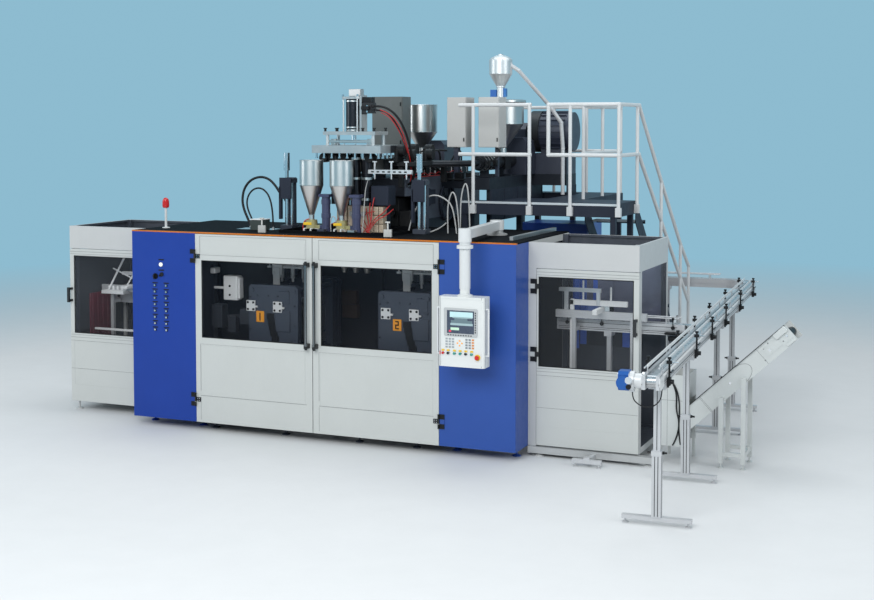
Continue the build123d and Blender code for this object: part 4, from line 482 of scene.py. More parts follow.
# Builders for the added pieces
class Piece:
    """A mesh piece of boxes and bars, in millimetres from the door gap, that rides on a body."""
    made = []

    def __init__(self, name, material, *boxes, edge=0.0, body="machine"):
        self.shape = bmesh.new()
        self.edge = edge
        self.object = bpy.data.objects.new(name, bpy.data.meshes.new(name))
        self.object.data.materials.append(material)
        bpy.context.collection.objects.link(self.object)
        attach(self.object, body)
        for x, y, z in boxes:
            self.box(x, y, z)
        Piece.made.append(self)

    def box(self, x, y, z, turn=None):
        low = place(min(x), min(y), min(z))
        high = place(max(x), max(y), max(z))
        matrix = Matrix.Translation((low + high) / 2)
        if turn:
            matrix = matrix @ Matrix.Rotation(math.radians(turn[0]), 4, turn[1])
        bmesh.ops.create_cube(self.shape, size=1, matrix=matrix @ Matrix.Diagonal((*(high - low), 1)))

    def bar(self, a, b, radius, end_radius=None, sides=16):
        a, b = place(*a), place(*b)
        run = b - a
        matrix = Matrix.Translation((a + b) / 2) @ run.to_track_quat("Z", "Y").to_matrix().to_4x4()
        bmesh.ops.create_cone(self.shape, cap_ends=True, segments=sides, radius1=radius / 1000,
                              radius2=(radius if end_radius is None else end_radius) / 1000,
                              depth=run.length, matrix=matrix)

    def finish(self):
        data = self.object.data
        self.shape.to_mesh(data)
        self.shape.free()
        data.shade_smooth()
        data.set_sharp_from_angle(angle=smooth_angle)
        if self.edge:
            mod = self.object.modifiers.new("edge", "BEVEL")
            mod.width = self.edge / 1000
            mod.segments = 2
            mod.limit_method = "ANGLE"


def tube(name, material, radius, runs, body, rings, steps):
    """Round lines, each a smooth spline along its run of points."""
    data = bpy.data.curves.new(name, "CURVE")
    data.dimensions = "3D"
    data.bevel_depth = radius / 1000
    data.bevel_resolution = rings
    data.resolution_u = steps
    data.use_fill_caps = True
    for points in runs:
        line = data.splines.new("NURBS")
        line.points.add(len(points) - 1)
        for target, p in zip(line.points, points):
            target.co = (*place(*p), 1)
        line.order_u = 3
        line.use_endpoint_u = True
    data.materials.append(material)
    obj = bpy.data.objects.new(name, data)
    bpy.context.collection.objects.link(obj)
    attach(obj, body)
    return obj


def wires(name, material, radius, *runs, body="machine"):
    """Clipped wiring."""
    tube(name, material, radius, runs, body, 2, 6)


# Free hoses and the motor's cable
def hose(node_name, points, radius):
    obj = tube(node_name + "_line", m_rubber, radius, [points], "machine", 6, 16)
    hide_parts(node_name)


hose("hose_loop_outer", [
    (-1212, 780, 2236), (-1262, 782, 2330), (-1312, 786, 2430), (-1335, 790, 2541), (-1308, 795, 2671),
    (-1221, 800, 2769), (-1095, 805, 2806), (-985, 810, 2778), (-905, 816, 2700), (-850, 824, 2610),
    (-790, 832, 2545)], 14)
hose("hose_loop_inner", [
    (-1118, 690, 2236), (-1146, 692, 2325), (-1195, 696, 2410), (-1222, 700, 2505), (-1200, 706, 2600),
    (-1130, 712, 2670), (-1035, 716, 2680), (-955, 718, 2620), (-912, 714, 2530), (-890, 708, 2430),
    (-878, 702, 2330), (-874, 698, 2236)], 10)
hose("head_hose_front", [
    (368, 770, 3600), (440, 770, 3600), (512, 776, 3580), (580, 800, 3534), (632, 845, 3458),
    (665, 900, 3360), (682, 960, 3250), (690, 1020, 3130), (690, 1080, 3010), (680, 1140, 2900),
    (655, 1190, 2815), (608, 1222, 2755), (564, 1240, 2722)], 13)
hose("head_hose_rear", [
    (368, 830, 3556), (428, 830, 3552), (488, 838, 3530), (540, 865, 3470), (580, 910, 3385),
    (604, 965, 3285), (618, 1025, 3180), (626, 1090, 3070), (626, 1150, 2960), (616, 1210, 2860),
    (594, 1262, 2780), (560, 1300, 2722)], 10)
hose("motor_cable", [
    (3984, -1811, 1180), (3984, -1811, 1122), (4026, -1784, 1070), (4080, -1756, 1046),
    (4136, -1722, 1050), (4178, -1692, 1082), (4196, -1668, 1134), (4196, -1657, 1196)], 5)


# Front doors: gaskets, grooves, hinge plates and centre seal
both_sides = (("right", 1), ("left", -1))


def gasket(name, sign, x0, x1, y, z0, z1, body):
    """A rubber frame behind the edge of a pane."""
    strip = Piece(name, m_rubber, body=body)
    width = 9
    for x, z in (((x0, x0 + width), (z0, z1)), ((x1 - width, x1), (z0, z1)), ((x0, x1), (z0, z0 + width)),
                 ((x0, x1), (z1 - width, z1))):
        strip.box((sign * x[0], sign * x[1]), y, z)


for name, sign in both_sides:
    gasket(f"{name}_door_gasket", sign, 99.5, 1384.5, (2, 7.8), 1045.5, 1904.5, f"{name}_door_leaf")
for name, sign in both_sides:
    groove = Piece(f"{name}_door_grooves", m_groove, body=f"{name}_door_leaf")
    ends = sorted((sign * 74, sign * 1404))
    for z in (1962, 2170, 396, 974):
        groove.box(ends, (-0.6, 0.4), (z, z + (3.5 if z != 974 else 2)))
    for z in ((1962, 2172), (452, 976), (128, 384)):
        groove.box((ends[0], ends[0] + 3.5), (-0.6, 0.4), z)
    groove.box((ends[1] - 3.5, ends[1]), (-0.6, 0.4), (1962, 2172))
    plates = Piece(f"{name}_door_hinge_plates", m_black, edge=2, body=f"{name}_door_leaf")
    studs = Piece(f"{name}_door_hinge_screws", m_chrome, body=f"{name}_door_leaf")
    for z in door_hinge_heights:
        plates.box(sorted((sign * 1403, sign * 1452)), (-8, 0.3), (z - 24, z + 24))
        for x, dz in ((1418, -11), (1418, 11), (1440, -11), (1440, 11)):
            studs.bar((sign * x, -7.5, z + dz), (sign * x, -9, z + dz), 4.5, sides=10)
    rail = Piece(f"{name}_wing_grooves", m_groove, body=f"{name}_wing_leaf")
    for z in (905, 874, 834, 1866, 1896, 500):
        rail.box((sign * 2392, sign * 3457), (379.4, 380.4), (z, z + 3.5))
Piece("centre_seal", m_rubber, ((-3.4, 3.8), (10, 44), (104, 2190)), body="right_door_leaf")

# Enclosures: door gaskets, what stands behind the panes, and dark backing sheets that are painted shade
for name, sign in both_sides:
    gasket(f"{name}_wing_gasket", sign, 2408.5, 3404.5, (382, 387.8), 925.5, 1849.5, f"{name}_wing_leaf")
# Dark backing sheets behind the wing panes: painted shade
Piece("right_room_back", m_fill, ((2312, 2405), (room_back, 1562), (1256, 1930)),
      ((2600, 3190), (1556, 1566), (985, 1225)), edge=2)
Piece("left_room_back", m_fill, ((-3428, -2312), (room_back, 1560), (1256, 1930)),
      ((-3140, -2900), (1520, 1548), (1330, 1560)), edge=2)
Piece("right_room_panels", m_mist, ((2565, 2867), (room_back, 1560), (1430, 1930)),
      ((2872, 3420), (room_back, 1560), (1262, 1930)), edge=2)
Piece("right_room_strips", m_strip, ((2425, 2480), (room_back, 1562), (940, 1930)),
      ((2492, 2562), (room_back, 1562), (990, 1930)), ((2640, 2690), (1544, 1551), (1430, 1930)),
      ((2970, 3050), (1550, 1556), (985, 1225)), edge=2)
# Dark sheet along the left wing's side: painted shade
Piece("left_room_side", m_fill, ((-3429, -3425), (440, 1538), (930, 1900)), edge=1)
curtain = Piece("left_room_screen", m_curtain, edge=3)
for k in range(9):
    y = 690 + 49 * k
    curtain.box((-3424, -3412 + 5 * (k % 2)), (y, y + 47), (800, 1360))
takeout = Piece("left_takeout_arms", m_bright, ((-3330, -3010), (800, 1010), (1352, 1392)),
                ((-2930, -2880), (980, 1030), (1392, 1915)), ((-3200, -2500), (1040, 1080), (1560, 1600)),
                ((-3020, -2920), (760, 980), (1430, 1462)), edge=3)
takeout.bar((-3280, 880, 1392), (-3120, 1000, 1800), 12)
takeout.bar((-3060, 900, 1400), (-2960, 1000, 1640), 10)
takeout.bar((-3300, 1000, 1640), (-2900, 1000, 1480), 9)
takeout.box((-3000, -2560), (1030, 1050), (1700, 1716))
for k in range(5):
    takeout.bar((-3290 + 62 * k, 905, 1392), (-3290 + 62 * k, 905, 1440), 14)
takeout.box((-3360, -2400), (700, 730), (925, 950))
arms = Piece("right_takeout_arms", m_bright, ((2560, 2600), (960, 1000), (134, 1560)),
             ((2560, 3180), (960, 1000), (1500, 1556)), ((2880, 2930), (700, 1000), (1440, 1490)), edge=3)
arms.bar((2700, 980, 1560), (2700, 980, 1760), 10)
arms.bar((3000, 980, 1560), (3000, 980, 1700), 10)
Piece("left_room_shelf", m_grey, ((-3400, -2980), (1180, 1420), (1330, 1400)),
      ((-3360, -3320), (1280, 1320), (134, 1330)), edge=5)


# Clamp stations: tie plates, number plates, hoses along the plate
def digit(piece, number, x, y, z, size):
    """A plain digit built from bars."""
    w, h, t = size * 0.5, size, size * 0.16
    bars = {"top": ((-w / 2, w / 2), (h / 2 - t, h / 2)), "mid": ((-w / 2, w / 2), (-t / 2, t / 2)),
            "low": ((-w / 2, w / 2), (-h / 2, -h / 2 + t)), "ur": ((w / 2 - t, w / 2), (0, h / 2)),
            "ll": ((-w / 2, -w / 2 + t), (-h / 2, 0)), "bar": ((-t / 2, t / 2), (-h / 2, h / 2))}
    for key in {1: ("bar",), 2: ("top", "ur", "mid", "ll", "low")}[number]:
        bx, bz = bars[key]
        piece.box((x + bx[0], x + bx[1]), (y - 1.5, y), (z + bz[0], z + bz[1]))


stations = (("left", -680, 1, (-958, -619), -843, -820, -715), ("right", 920, 2, (703, 1033), 835, 800, 951))
for name, centre, number, tie_spots, number_x, hanger_x, rib_x in stations:
    body = f"{name}_front_clamp"
    plates = Piece(f"{name}_tie_plates", m_bright, edge=4, body=body)
    bolts = Piece(f"{name}_tie_bolts", m_black, body=body)
    for x in tie_spots:
        plates.box((x - 56, x + 56), (332, platen_face), (1322, 1442))
        for bx in (-34, 34):
            for bz in (-38, 38):
                bolts.bar((x + bx, 327, 1382 + bz), (x + bx, 333, 1382 + bz), 13)
        plates.bar((x + 52, 341, 1374), (x + 84, 341, 1374), 12)
    for dx, dz in ((-290, 1480), (-200, 1500), (-60, 1500), (60, 1500), (150, 1480), (270, 1400), (270, 1180),
                   (180, 1180), (-290, 1120), (-290, 960), (230, 1000), (-100, 900), (270, 1560),
                   (190, 1560)):
        bolts.bar((centre + dx, 344, dz), (centre + dx, 349.8, dz), 9)
    Piece(f"{name}_number_plate", m_orange,
          ((number_x - 50, number_x + 50), (340, platen_face), (1203, 1327)), edge=6, body=body)
    figure = Piece(f"{name}_number", m_black, body=body)
    digit(figure, number, number_x, 340, 1265, 88)
    rib = Piece(f"{name}_hose_guard", m_rubber, edge=3, body=body)
    for k in range(8):
        z0, z1 = 1300 - 62 * k, 1300 - 62 * (k + 1)
        drift = 46 * (1 - math.cos(math.pi * min(k, 6) / 12)) + 10 * k
        rib.box((rib_x - 46 + drift, rib_x + 46 + drift), (341, platen_face), (z0 + 6, z1))
    Piece(f"{name}_raised_plate", m_platen, ((rib_x + 70, rib_x + 250), (338, platen_face), (1110, 1345)),
          ((rib_x + 110, rib_x + 240), (341, platen_face), (1420, 1560)), edge=9, body=body)
    Piece(f"{name}_blow_bracket", m_bright, ((hanger_x - 62, hanger_x + 62), (684, 706), (1700, 2119)),
          ((hanger_x - 46, hanger_x + 40), (672, 684), (1550, 1780)),
          ((hanger_x - 20, hanger_x + 14), (664, 672), (1560, 1600)),
          ((centre - 320, centre + 320), (690, 725), (1985, 2010)), edge=3)
    rods = Piece(f"{name}_blow_rods", m_bright)
    for dx in (-108, 92, 122, 152, 196, 232, 262, 300):
        rods.bar((hanger_x + dx, 706, 1790), (hanger_x + dx, 706, 2088), 8)
    for dx in (-108, 107, 152, 214, 262):
        rods.bar((hanger_x + dx, 706, 1840), (hanger_x + dx, 706, 1920), 17)
    rods.box((hanger_x - 130, hanger_x - 84), (692, 722), (1775, 1795))
    rods.box((hanger_x + 70, hanger_x + 320), (692, 722), (1775, 1795))
    rods.box((hanger_x + 70, hanger_x + 320), (692, 722), (1935, 1950))
    wires(f"{name}_pin_tubes", m_grey_wire, 5, *[
        [(x, 752, 1812), (x + 6, 752, 1832), (x + 26, 756, 1850), (x + 50, 770, 1838), (x + 56, 780, 1812)]
        for x in [centre + dx for dx in (-180, -120, -40, 40, 100)]], body=f"{name}_pins")

Piece("inner_box", m_bright, ((-1311, -1128), (330, 440), (1430, 1706)),
      ((-1128, -1104), (340, 430), (1446, 1690)), ((-1464, -1311), (370, 400), (1545, 1575)),
      ((-1464, -1400), (300, 420), (1725, 1790)), edge=14)
dots = Piece("inner_box_knobs", m_black)
for z in (1490, 1590):
    dots.bar((-1225, 322, z), (-1225, 331, z), 12)
Piece("inner_valves", m_fill, ((-1464, -1330), (330, 460), (1110, 1370)),
      ((-1150, -1010), (420, 470), (1150, 1330)), ((-1464, -1010), (440, 470), (1220, 1250)),
      ((-1290, -1190), (390, 470), (1060, 1240)), edge=4)
Piece("inner_duct", m_brown, ((-498, -301), (1650, 1735), (1270, 1429)),
      ((-488, -290), (1640, 1735), (1105, 1262)), edge=4)
head_bits = Piece("head_fittings", m_bright, edge=2)
for i in range(9):
    x = -70 + 47 * i
    head_bits.bar((x, 700, 2150 - 14 * (i % 3)), (x, 700, 1990 - 22 * (i % 4)), 11)
    head_bits.box((x - 16, x + 16), (686, 716), (2060 - 20 * (i % 3), 2092 - 20 * (i % 3)))
head_bits.box((-120, 370), (690, 722), (2128, 2160))
wires("head_swags", m_grey_wire, 7, *[
    [(-90 + 84 * i, 690, 2120), (-88 + 84 * i, 682, 2020), (-52 + 84 * i, 678, 1952 - 10 * (i % 2)),
     (-16 + 84 * i, 682, 2010), (-10 + 84 * i, 690, 2120)] for i in range(5)])

# Front of the die head: wires and terminals on the heater covers
for i, x in enumerate(head_spots):
    cover = Piece(f"heater_screws_{i}", m_steel)
    for z in (2200, 2330, 2460):
        for dx in (-46, 46):
            cover.bar((x + dx, 718, z), (x + dx, 725.5, z), 6)
    rings = Piece(f"head_bands_{i}", m_steel)
    for z in (2560, 2790, 3010):
        rings.bar((x, 800, z), (x, 800, z + 26), 64, sides=32)
        rings.box((x - 12, x + 12), (726, 742), (z + 2, z + 24))
    Piece(f"heater_terminal_{i}", m_grey, ((x - 26, x + 26), (694, 724), (2390, 2440)), edge=3)
wires("heater_wires", m_red_wire, 5,
      [(150, 705, 2395), (160, 690, 2340), (250, 640, 2300), (340, 600, 2260), (380, 560, 2222)],
      [(260, 705, 2395), (268, 690, 2350), (320, 650, 2300), (360, 620, 2250), (400, 570, 2220)],
      [(280, 705, 2400), (300, 690, 2430), (380, 690, 2440), (440, 720, 2460), (470, 800, 2500)],
      [(-30, 705, 2395), (-40, 690, 2330), (-120, 640, 2290), (-200, 600, 2240), (-240, 560, 2220)],
      [(-330, 420, 2216), (-338, 416, 2270), (-330, 420, 2330), (-300, 430, 2360), (-270, 440, 2364)],
      [(-340, 440, 2216), (-352, 436, 2270), (-340, 440, 2320), (-300, 448, 2345), (-270, 450, 2352)])
wires("sensor_wires", m_grey_wire, 5,
      [(20, 400, 2216), (14, 396, 2300), (24, 390, 2380), (50, 392, 2410), (76, 400, 2380), (84, 410, 2320)],
      [(372, 440, 2216), (392, 436, 2330), (396, 440, 2460), (388, 480, 2600), (360, 560, 2720),
       (322, 700, 2790)],
      [(-100, 400, 2216), (-106, 392, 2250), (-140, 388, 2262), (-180, 396, 2262)],
      [(200, 400, 2216), (196, 390, 2250), (170, 388, 2262), (140, 396, 2262)])

# Under the big plate: studs and short pins
studs = Piece("plate_studs", m_chrome)
for i in range(9):
    x = -262 + i * 95
    studs.bar((x, 600, 3084.5), (x, 600, 3040), 11)
    studs.bar((x, 600, 3040), (x, 600, 3028), 17, sides=6)
for i in range(5):
    y = 680 + i * 105
    studs.bar((512, y, 3084.5), (512, y, 3040), 11)
    studs.bar((512, y, 3040), (512, y, 3028), 17, sides=6)
caps = Piece("plate_caps", m_black)
for x, y in ((-180, 655), (420, 655), (-180, 945), (420, 945), (-40, 655), (280, 655)):
    caps.bar((x, y, 3322.5), (x, y, 3352), 13)
    caps.bar((x, y, 3352), (x, y, 3362), 20)
knobs = Piece("flange_bolts", m_chrome)
for x in (10, 190):
    for y in (712, 888):
        knobs.bar((x, y, 3706.5), (x, y, 3730), 12, sides=6)
Piece("middle_block", m_steel, ((-130, -75), (690, 730), (3171, 3240)),
      ((315, 370), (690, 730), (3171, 3240)), ((-150, 390), (668, 690), (3200, 3225)), edge=3)
Piece("cable_rail", m_alu, ((321, 844), (700, 740), (2860, 2905)), edge=2)
# Black strips in the rail's slots: painted shade in the openings
slot_shade = Piece("cable_rail_slots", m_black)
for i in range(7):
    slot_shade.box((360 + i * 66, 392 + i * 66), (699.2, 700), (2874, 2890))
brackets = Piece("cable_rail_brackets", m_alu, edge=2)
for x in (400, 600, 780):
    brackets.box((x - 8, x + 8), (700, 716), (2905, 2990))
    brackets.box((x - 26, x + 26), (700, 716), (2985, 3000))
    brackets.box((x - 6, x + 6), (704, 716), (2800, 2860))
valve = Piece("valve_fittings", m_chrome)
for y, z in ((770, 3600), (830, 3556)):
    valve.bar((345.5, y, z), (367, y, z), 16, sides=6)
for z in (3540, 3600):
    valve.bar((300, 737, z), (300, 722, z), 12, sides=6)
Piece("valve_solenoids", m_black, ((236, 334), (745, 855), (3641, 3700)),
      ((240, 330), (690, 737), (3560, 3600)), edge=4)
Piece("cylinder_lugs", m_white, ((66, 200), (745, 759.5), (3712, 3785)), edge=3)
cylinder_bands = Piece("cylinder_bands", m_steel)
for z in (3330, 3360, 3650):
    cylinder_bands.bar((100, 800, z), (100, 800, z + 14), 92, sides=40)

# Around the head: heater pads, wiring bundle, blowers, lift blocks, hydraulic unit
pads = Piece("heater_pads", m_beige, edge=3)
for x in (334, 392, 450):
    for z in (2216, 2312, 2408):
        pads.box((x, x + 50), (700, 800), (z, z + 88))
        for k in range(3):
            pads.box((x + 6, x + 44), (695, 701), (z + 12 + 26 * k, z + 22 + 26 * k))
Piece("head_blocks", m_slate, ((352, 560), (712, 905), (2512, 2725)),
      ((330, 500), (800, 900), (2216, 2508)), edge=4)
dark = Piece("head_blowers", m_rubber, ((-108, -42), (650, 722), (2520, 3060)), edge=5)
for x, y, z in ((-230, 690, 3030), (-120, 690, 3040), (10, 690, 3036), (330, 700, 3030)):
    dark.bar((x, y, z), (x, y + 110, z), 52, sides=24)
    dark.box((x - 24, x + 24), (y + 20, y + 90), (z, 3084))
for x, y, z in ((580, 1000, 3110), (660, 1120, 3060), (600, 1300, 3120), (730, 1450, 3060),
                (640, 1650, 3110)):
    dark.bar((x - 40, y, z), (x + 50, y, z), 62, sides=24)
    dark.box((x - 46, x - 6), (y - 80, y + 80), (z - 130, z + 20))
dark.box((545, 760), (960, 1900), (2935, 2985))
dark.box((545, 600), (1000, 1060), (2700, 2940))
dark.box((700, 760), (1840, 1900), (2731, 2940))
wires("head_bundle", m_red_wire, 6,
      [(352, 690, 2540), (340, 680, 2440), (380, 660, 2330), (360, 640, 2260), (330, 620, 2222)],
      [(400, 694, 2600), (380, 670, 2480), (390, 650, 2380), (372, 630, 2290), (345, 600, 2222)],
      [(560, 760, 2520), (520, 690, 2440), (450, 660, 2390), (400, 640, 2330), (360, 590, 2222)],
      [(580, 800, 2470), (540, 690, 2400), (470, 650, 2370), (410, 620, 2300), (380, 580, 2222)],
      [(300, 694, 2480), (318, 680, 2400), (350, 650, 2340), (352, 630, 2280), (320, 590, 2222)])
wires("hose_leads", m_red_wire, 5,
      [(445, 750, 3560), (520, 760, 3535), (590, 800, 3470), (640, 860, 3370), (662, 940, 3240),
       (668, 1010, 3100), (664, 1090, 2960), (640, 1160, 2850), (600, 1210, 2760)],
      [(430, 812, 3530), (500, 822, 3500), (556, 860, 3430), (596, 920, 3330), (624, 990, 3210),
       (640, 1060, 3080), (640, 1130, 2950), (622, 1190, 2850), (590, 1250, 2760)])
wires("roof_tubes", m_grey_wire, 8,
      [(760, 800, 2216), (800, 810, 2400), (880, 850, 2560), (1010, 900, 2640), (1150, 900, 2600),
       (1260, 900, 2500), (1290, 900, 2216)],
      [(1189, 900, 2216), (1180, 900, 2440), (1201, 900, 2600), (1248, 900, 2690), (1300, 900, 2560),
       (1322, 900, 2216)],
      [(1318, 940, 2216), (1316, 940, 2500), (1341, 940, 2700), (1388, 940, 2786), (1420, 940, 2600),
       (1430, 940, 2216)],
      [(1180, 870, 2330), (1080, 870, 2240), (960, 860, 2222)])
cladding = Piece("frame_cladding", m_slate, ((1251, 1258), (2010, 3890), (2270, 2642)),
                 ((1701, 1708), (3500, 3895), (2270, 2642)), edge=2)
for y in (2030, 2480, 2930, 3380, 3860):
    cladding.box((1256, 1264), (y, y + 14), (2274, 2638))
looms = Piece("barrel_fans", m_rubber, edge=4)
for k in range(7):
    y = 1330 + 290 * k
    looms.bar((395, y, 2862 + 16 * (k % 2)), (505, y, 2862 + 16 * (k % 2)), 66, sides=24)
    looms.box((420, 500), (y + 78, y + 150), (2791, 2900 + 20 * (k % 3)))
    looms.bar((400, y, 2862), (388, y, 2862), 30, sides=16)
# Small bright marks on the barrel: painted glints
glints = Piece("barrel_glints", m_bright, edge=1)
for k in range(12):
    y = 1280 + 165 * k
    glints.box((508, 520), (y, y + 26), (2800 + 23 * (k % 4), 2830 + 23 * (k % 4)))
    glints.bar((500, y + 60, 2810), (500, y + 60, 2880 + 11 * (k % 3)), 6, sides=8)
wires("barrel_leads", m_red_wire, 5, *[
    [(516, 1250 + 430 * k, 2806), (524, 1350 + 430 * k, 2850), (520, 1460 + 430 * k, 2800),
     (524, 1570 + 430 * k, 2842), (516, 1690 + 430 * k, 2806)] for k in range(4)])


def fan_at(x, radius, degrees):
    """A point on the frame's fan, from its depth, distance from the middle and angle."""
    a = math.radians(degrees)
    return x, 2380 + radius * math.cos(a), 2475 + radius * math.sin(a)


fan = Piece("frame_fan", m_slate, edge=3)
for k in range(20):
    fan.bar(fan_at(562, 215, 18 * k), fan_at(562, 215, 18 * (k + 1)), 20)
fan.bar((541, 2380, 2475), (600, 2380, 2475), 48, sides=24)
for k in range(6):
    fan.bar(fan_at(575, 40, 60 * k + 20), fan_at(575, 212, 60 * k + 20), 9)
fan.box((541, 580), (1560, 1980), (2470, 2640))
fan.bar((541, 1700, 2560), (620, 1700, 2560), 105, sides=32)
Piece("rear_cabinet_trim", m_groove, ((1700, 1704), (3640, 3641), (120, 2150)),
      ((1300, 2100), (3640, 3641), (2140, 2144)), ((1300, 2100), (3640, 3641), (130, 134)), edge=1)
back_latch = Piece("rear_cabinet_latches", m_black, edge=3)
for x in (1660, 1744):
    back_latch.box((x - 12, x + 12), (3640, 3652), (1080, 1230))
for z in (300, 326, 352, 378, 404):
    back_latch.box((1400, 1600), (3640, 3642), (z, z + 9))
    back_latch.box((1800, 2000), (3640, 3642), (z, z + 9))
wires("barrel_hoses", m_rubber, 11,
      [(560, 1640, 2850), (600, 1700, 2960), (610, 1800, 3060), (600, 1960, 3110), (580, 2120, 3070),
       (540, 2220, 2960)],
      [(560, 2350, 2850), (610, 2420, 2990), (620, 2540, 3080), (600, 2700, 3090), (570, 2820, 3000),
       (540, 2880, 2880)],
      [(540, 1300, 2850), (600, 1400, 2930), (620, 1540, 2960), (590, 1690, 2930), (545, 1760, 2850)])
hydraulic = Piece("hydraulic_unit", m_rubber, ((-60, 360), (1420, 1700), (roof_top, 2560)), edge=6)
for x in (20, 150, 280):
    hydraulic.bar((x, 1380, 2380), (x, 1420, 2380), 46, sides=24)
    hydraulic.bar((x, 1500, 2560), (x, 1500, 2640), 38, sides=24)
hydraulic.box((400, 540), (1350, 1500), (roof_top, 2420))
lift = Piece("lift_blocks", m_slate, edge=4)
for x in column_spots:
    lift.box((x - 78, x + 70), (706, 730), (2560, 2800))
    lift.box((x - 86, x - 60), (706, 760), (2330, 2700))
    for z in (2600, 2700):
        lift.bar((x + 40, 704, z), (x + 40, 712, z), 12, sides=6)
Piece("roof_boxes", finish_of("olive_coat", (0.035, 0.045, 0.040), 0.45, vary=0.08),
      ((-1040, -880), (470, 640), (roof_top, 2330)), edge=4)
Piece("roof_box_lid", m_bright, ((-1044, -876), (466, 644), (2330, 2340)), edge=3)


# Hoppers: rims, slide gates and feet
def hoops(piece, x, y, heights, radius, thickness, steps):
    """Level rings of short bars, one at each height."""
    turns = [2 * math.pi * k / steps for k in range(steps + 1)]
    spots = [(x + radius * math.cos(a), y + radius * math.sin(a)) for a in turns]
    for start, end in zip(spots, spots[1:]):
        for z in heights:
            piece.bar((*start, z), (*end, z), thickness, sides=6)


trim = Piece("hopper_rims", m_steel)
for x in hopper_spots:
    hoops(trim, x, 450, (3006, 2736), 131, 3.5, 28)
for x, y, z, radius in ((120, 2630, 3638, 189), (1100, 2820, 3406, 263), (120, 2630, 3308, 189)):
    hoops(trim, x, y, [z], radius, 4.5, 36)
gates = Piece("hopper_gates", m_yellow, edge=2)
for x in hopper_spots:
    gates.box((x - 70, x + 30), (384, 392), (2300, 2330))
stands = Piece("hopper_feet", m_white, edge=2)
for x in (-285, -205, 84, 164):
    stands.bar((x, 345, roof_top), (x, 345, 2262), 9)
    stands.bar((x, 345, 2262), (x, 395, 2262), 8)

# Extruders: band clamps, blowers, terminal boxes and cable bundles
bands = Piece("barrel_clamps", m_steel)
for x, y0, y1 in ((120, 1240, 2400), (1100, 2060, 2500)):
    for y in range(y0, y1 - 150, 190):
        for dy in (22, 118):
            bands.bar((x, y + dy, 2950), (x, y + dy + 10, 2950), 93.5, sides=32)
boxes = Piece("barrel_terminals", m_black, edge=4)
for y in (1290, 1480, 1670, 1860):
    boxes.box((216, 262), (y - 32, y + 32), (2915, 2985))
    boxes.box((-22, 24), (y - 32, y + 32), (2915, 2985))
for y in (2100, 2290):
    boxes.box((1196, 1242), (y - 32, y + 32), (2915, 2985))
blowers = Piece("barrel_blowers", m_black, edge=6)
for y in (1330, 1710, 2080):
    blowers.box((330, 500), (y - 70, y + 70), (2792, 2930))
    blowers.bar((415, y, 2930), (415, y, 2990), 60, sides=24)
for x in (620, 760, 900):
    blowers.box((x - 50, x + 50), (2245, 2316), (2731, 2830))
wires("barrel_looms", m_rubber, 11,
      [(262, 1290, 2970), (310, 1300, 3010), (380, 1420, 3030), (440, 1600, 2990), (480, 1800, 2950),
       (500, 2100, 2830)],
      [(262, 1480, 2970), (320, 1500, 3030), (400, 1620, 3050), (470, 1800, 3010), (505, 2050, 2900),
       (508, 2300, 2800)],
      [(262, 1670, 2970), (330, 1700, 3050), (430, 1800, 3060), (500, 2000, 2980), (512, 2240, 2850),
       (515, 2400, 2800)],
      [(262, 1860, 2970), (320, 1900, 3040), (400, 2010, 3090), (520, 2100, 3100), (640, 2190, 3090)],
      [(500, 2400, 2800), (505, 2650, 2800), (505, 2900, 2800), (505, 3300, 2805)],
      [(520, 2230, 2745), (620, 2232, 2745), (760, 2232, 2745), (930, 2232, 2745)],
      [(1242, 2100, 2970), (1290, 2110, 3010), (1330, 2140, 3060), (1300, 2190, 3110), (1250, 2230, 3128)])
wires("barrel_leads", m_red_wire, 6,
      [(262, 1300, 2940), (330, 1300, 2900), (420, 1280, 2830), (500, 1240, 2796)],
      [(262, 1490, 2940), (330, 1500, 2890), (430, 1480, 2830), (508, 1450, 2796)],
      [(530, 1500, 2796), (532, 1700, 2796), (532, 1900, 2796), (532, 2200, 2796)])

# Control boxes: door seams, hinges and latches
seams = Piece("box_seams", m_black)
for x0, x1, y, z0, z1 in ((630, 870, 2200, 3130, 3720), (1030, 1290, 2200, 3130, 3720),
                          (-260, 140, 2000, 3100, 3730)):
    seams.box((x0 + 3, x0 + 5), (y + 6, y + 11), (z0 + 3, z1 - 3))
    for z in (z0 + 90, z1 - 90):
        seams.box((x1 - 26, x1 - 14), (y - 9, y), (z - 22, z + 22))
seams.box((1310, 1330), (2992, 2999.5), (1000, 1200))
seams.box((1704, 1706), (2998, 2999.5), (130, 2170))

# Platform: edge strip and stair treads
Piece("deck_edges", m_alu, ((1000, 2840), (1746, 1750), (2500, 2525)), edge=1)
tread = Piece("stair_nosings", m_alu)
stair_top, stair_foot, deck_top, rises = 2570, 5290, 2525, 11
for i in range(1, rises):
    y = stair_top + (stair_foot - stair_top) * i / rises
    z = deck_top * (stair_foot - y) / (stair_foot - stair_top)
    tread.box((2240, 2828), (y - 14, y - 10), (z - 42, z - 22))
    for k in range(3):
        tread.box((2250, 2820), (y + 20 + 60 * k, y + 32 + 60 * k), (z - 25, z - 22))

# Outfeed conveyor: clamps, knobs and end caps, on its own axes
line_turn = 3.92
line_start = (4148, -1800)
leg_spots = (260, 1800, 3940, 5260)
shaft_z = 1276


def line_at(x, y, z):
    """A point in the row from across, along and up the conveyor."""
    cos, sin = math.cos(math.radians(line_turn)), math.sin(math.radians(line_turn))
    return line_start[0] + x * cos - y * sin, line_start[1] + x * sin + y * cos, z


def turned_box(piece, point_at, spans, turn):
    """A box given along a conveyor's own axes."""
    centre = point_at(*(sum(v) / 2 for v in spans))
    half = [abs(v[1] - v[0]) / 2 for v in spans]
    piece.box(*[(c - h, c + h) for c, h in zip(centre, half)], turn=turn)


def line_box(piece, *spans):
    turned_box(piece, line_at, spans, (line_turn, "Z"))


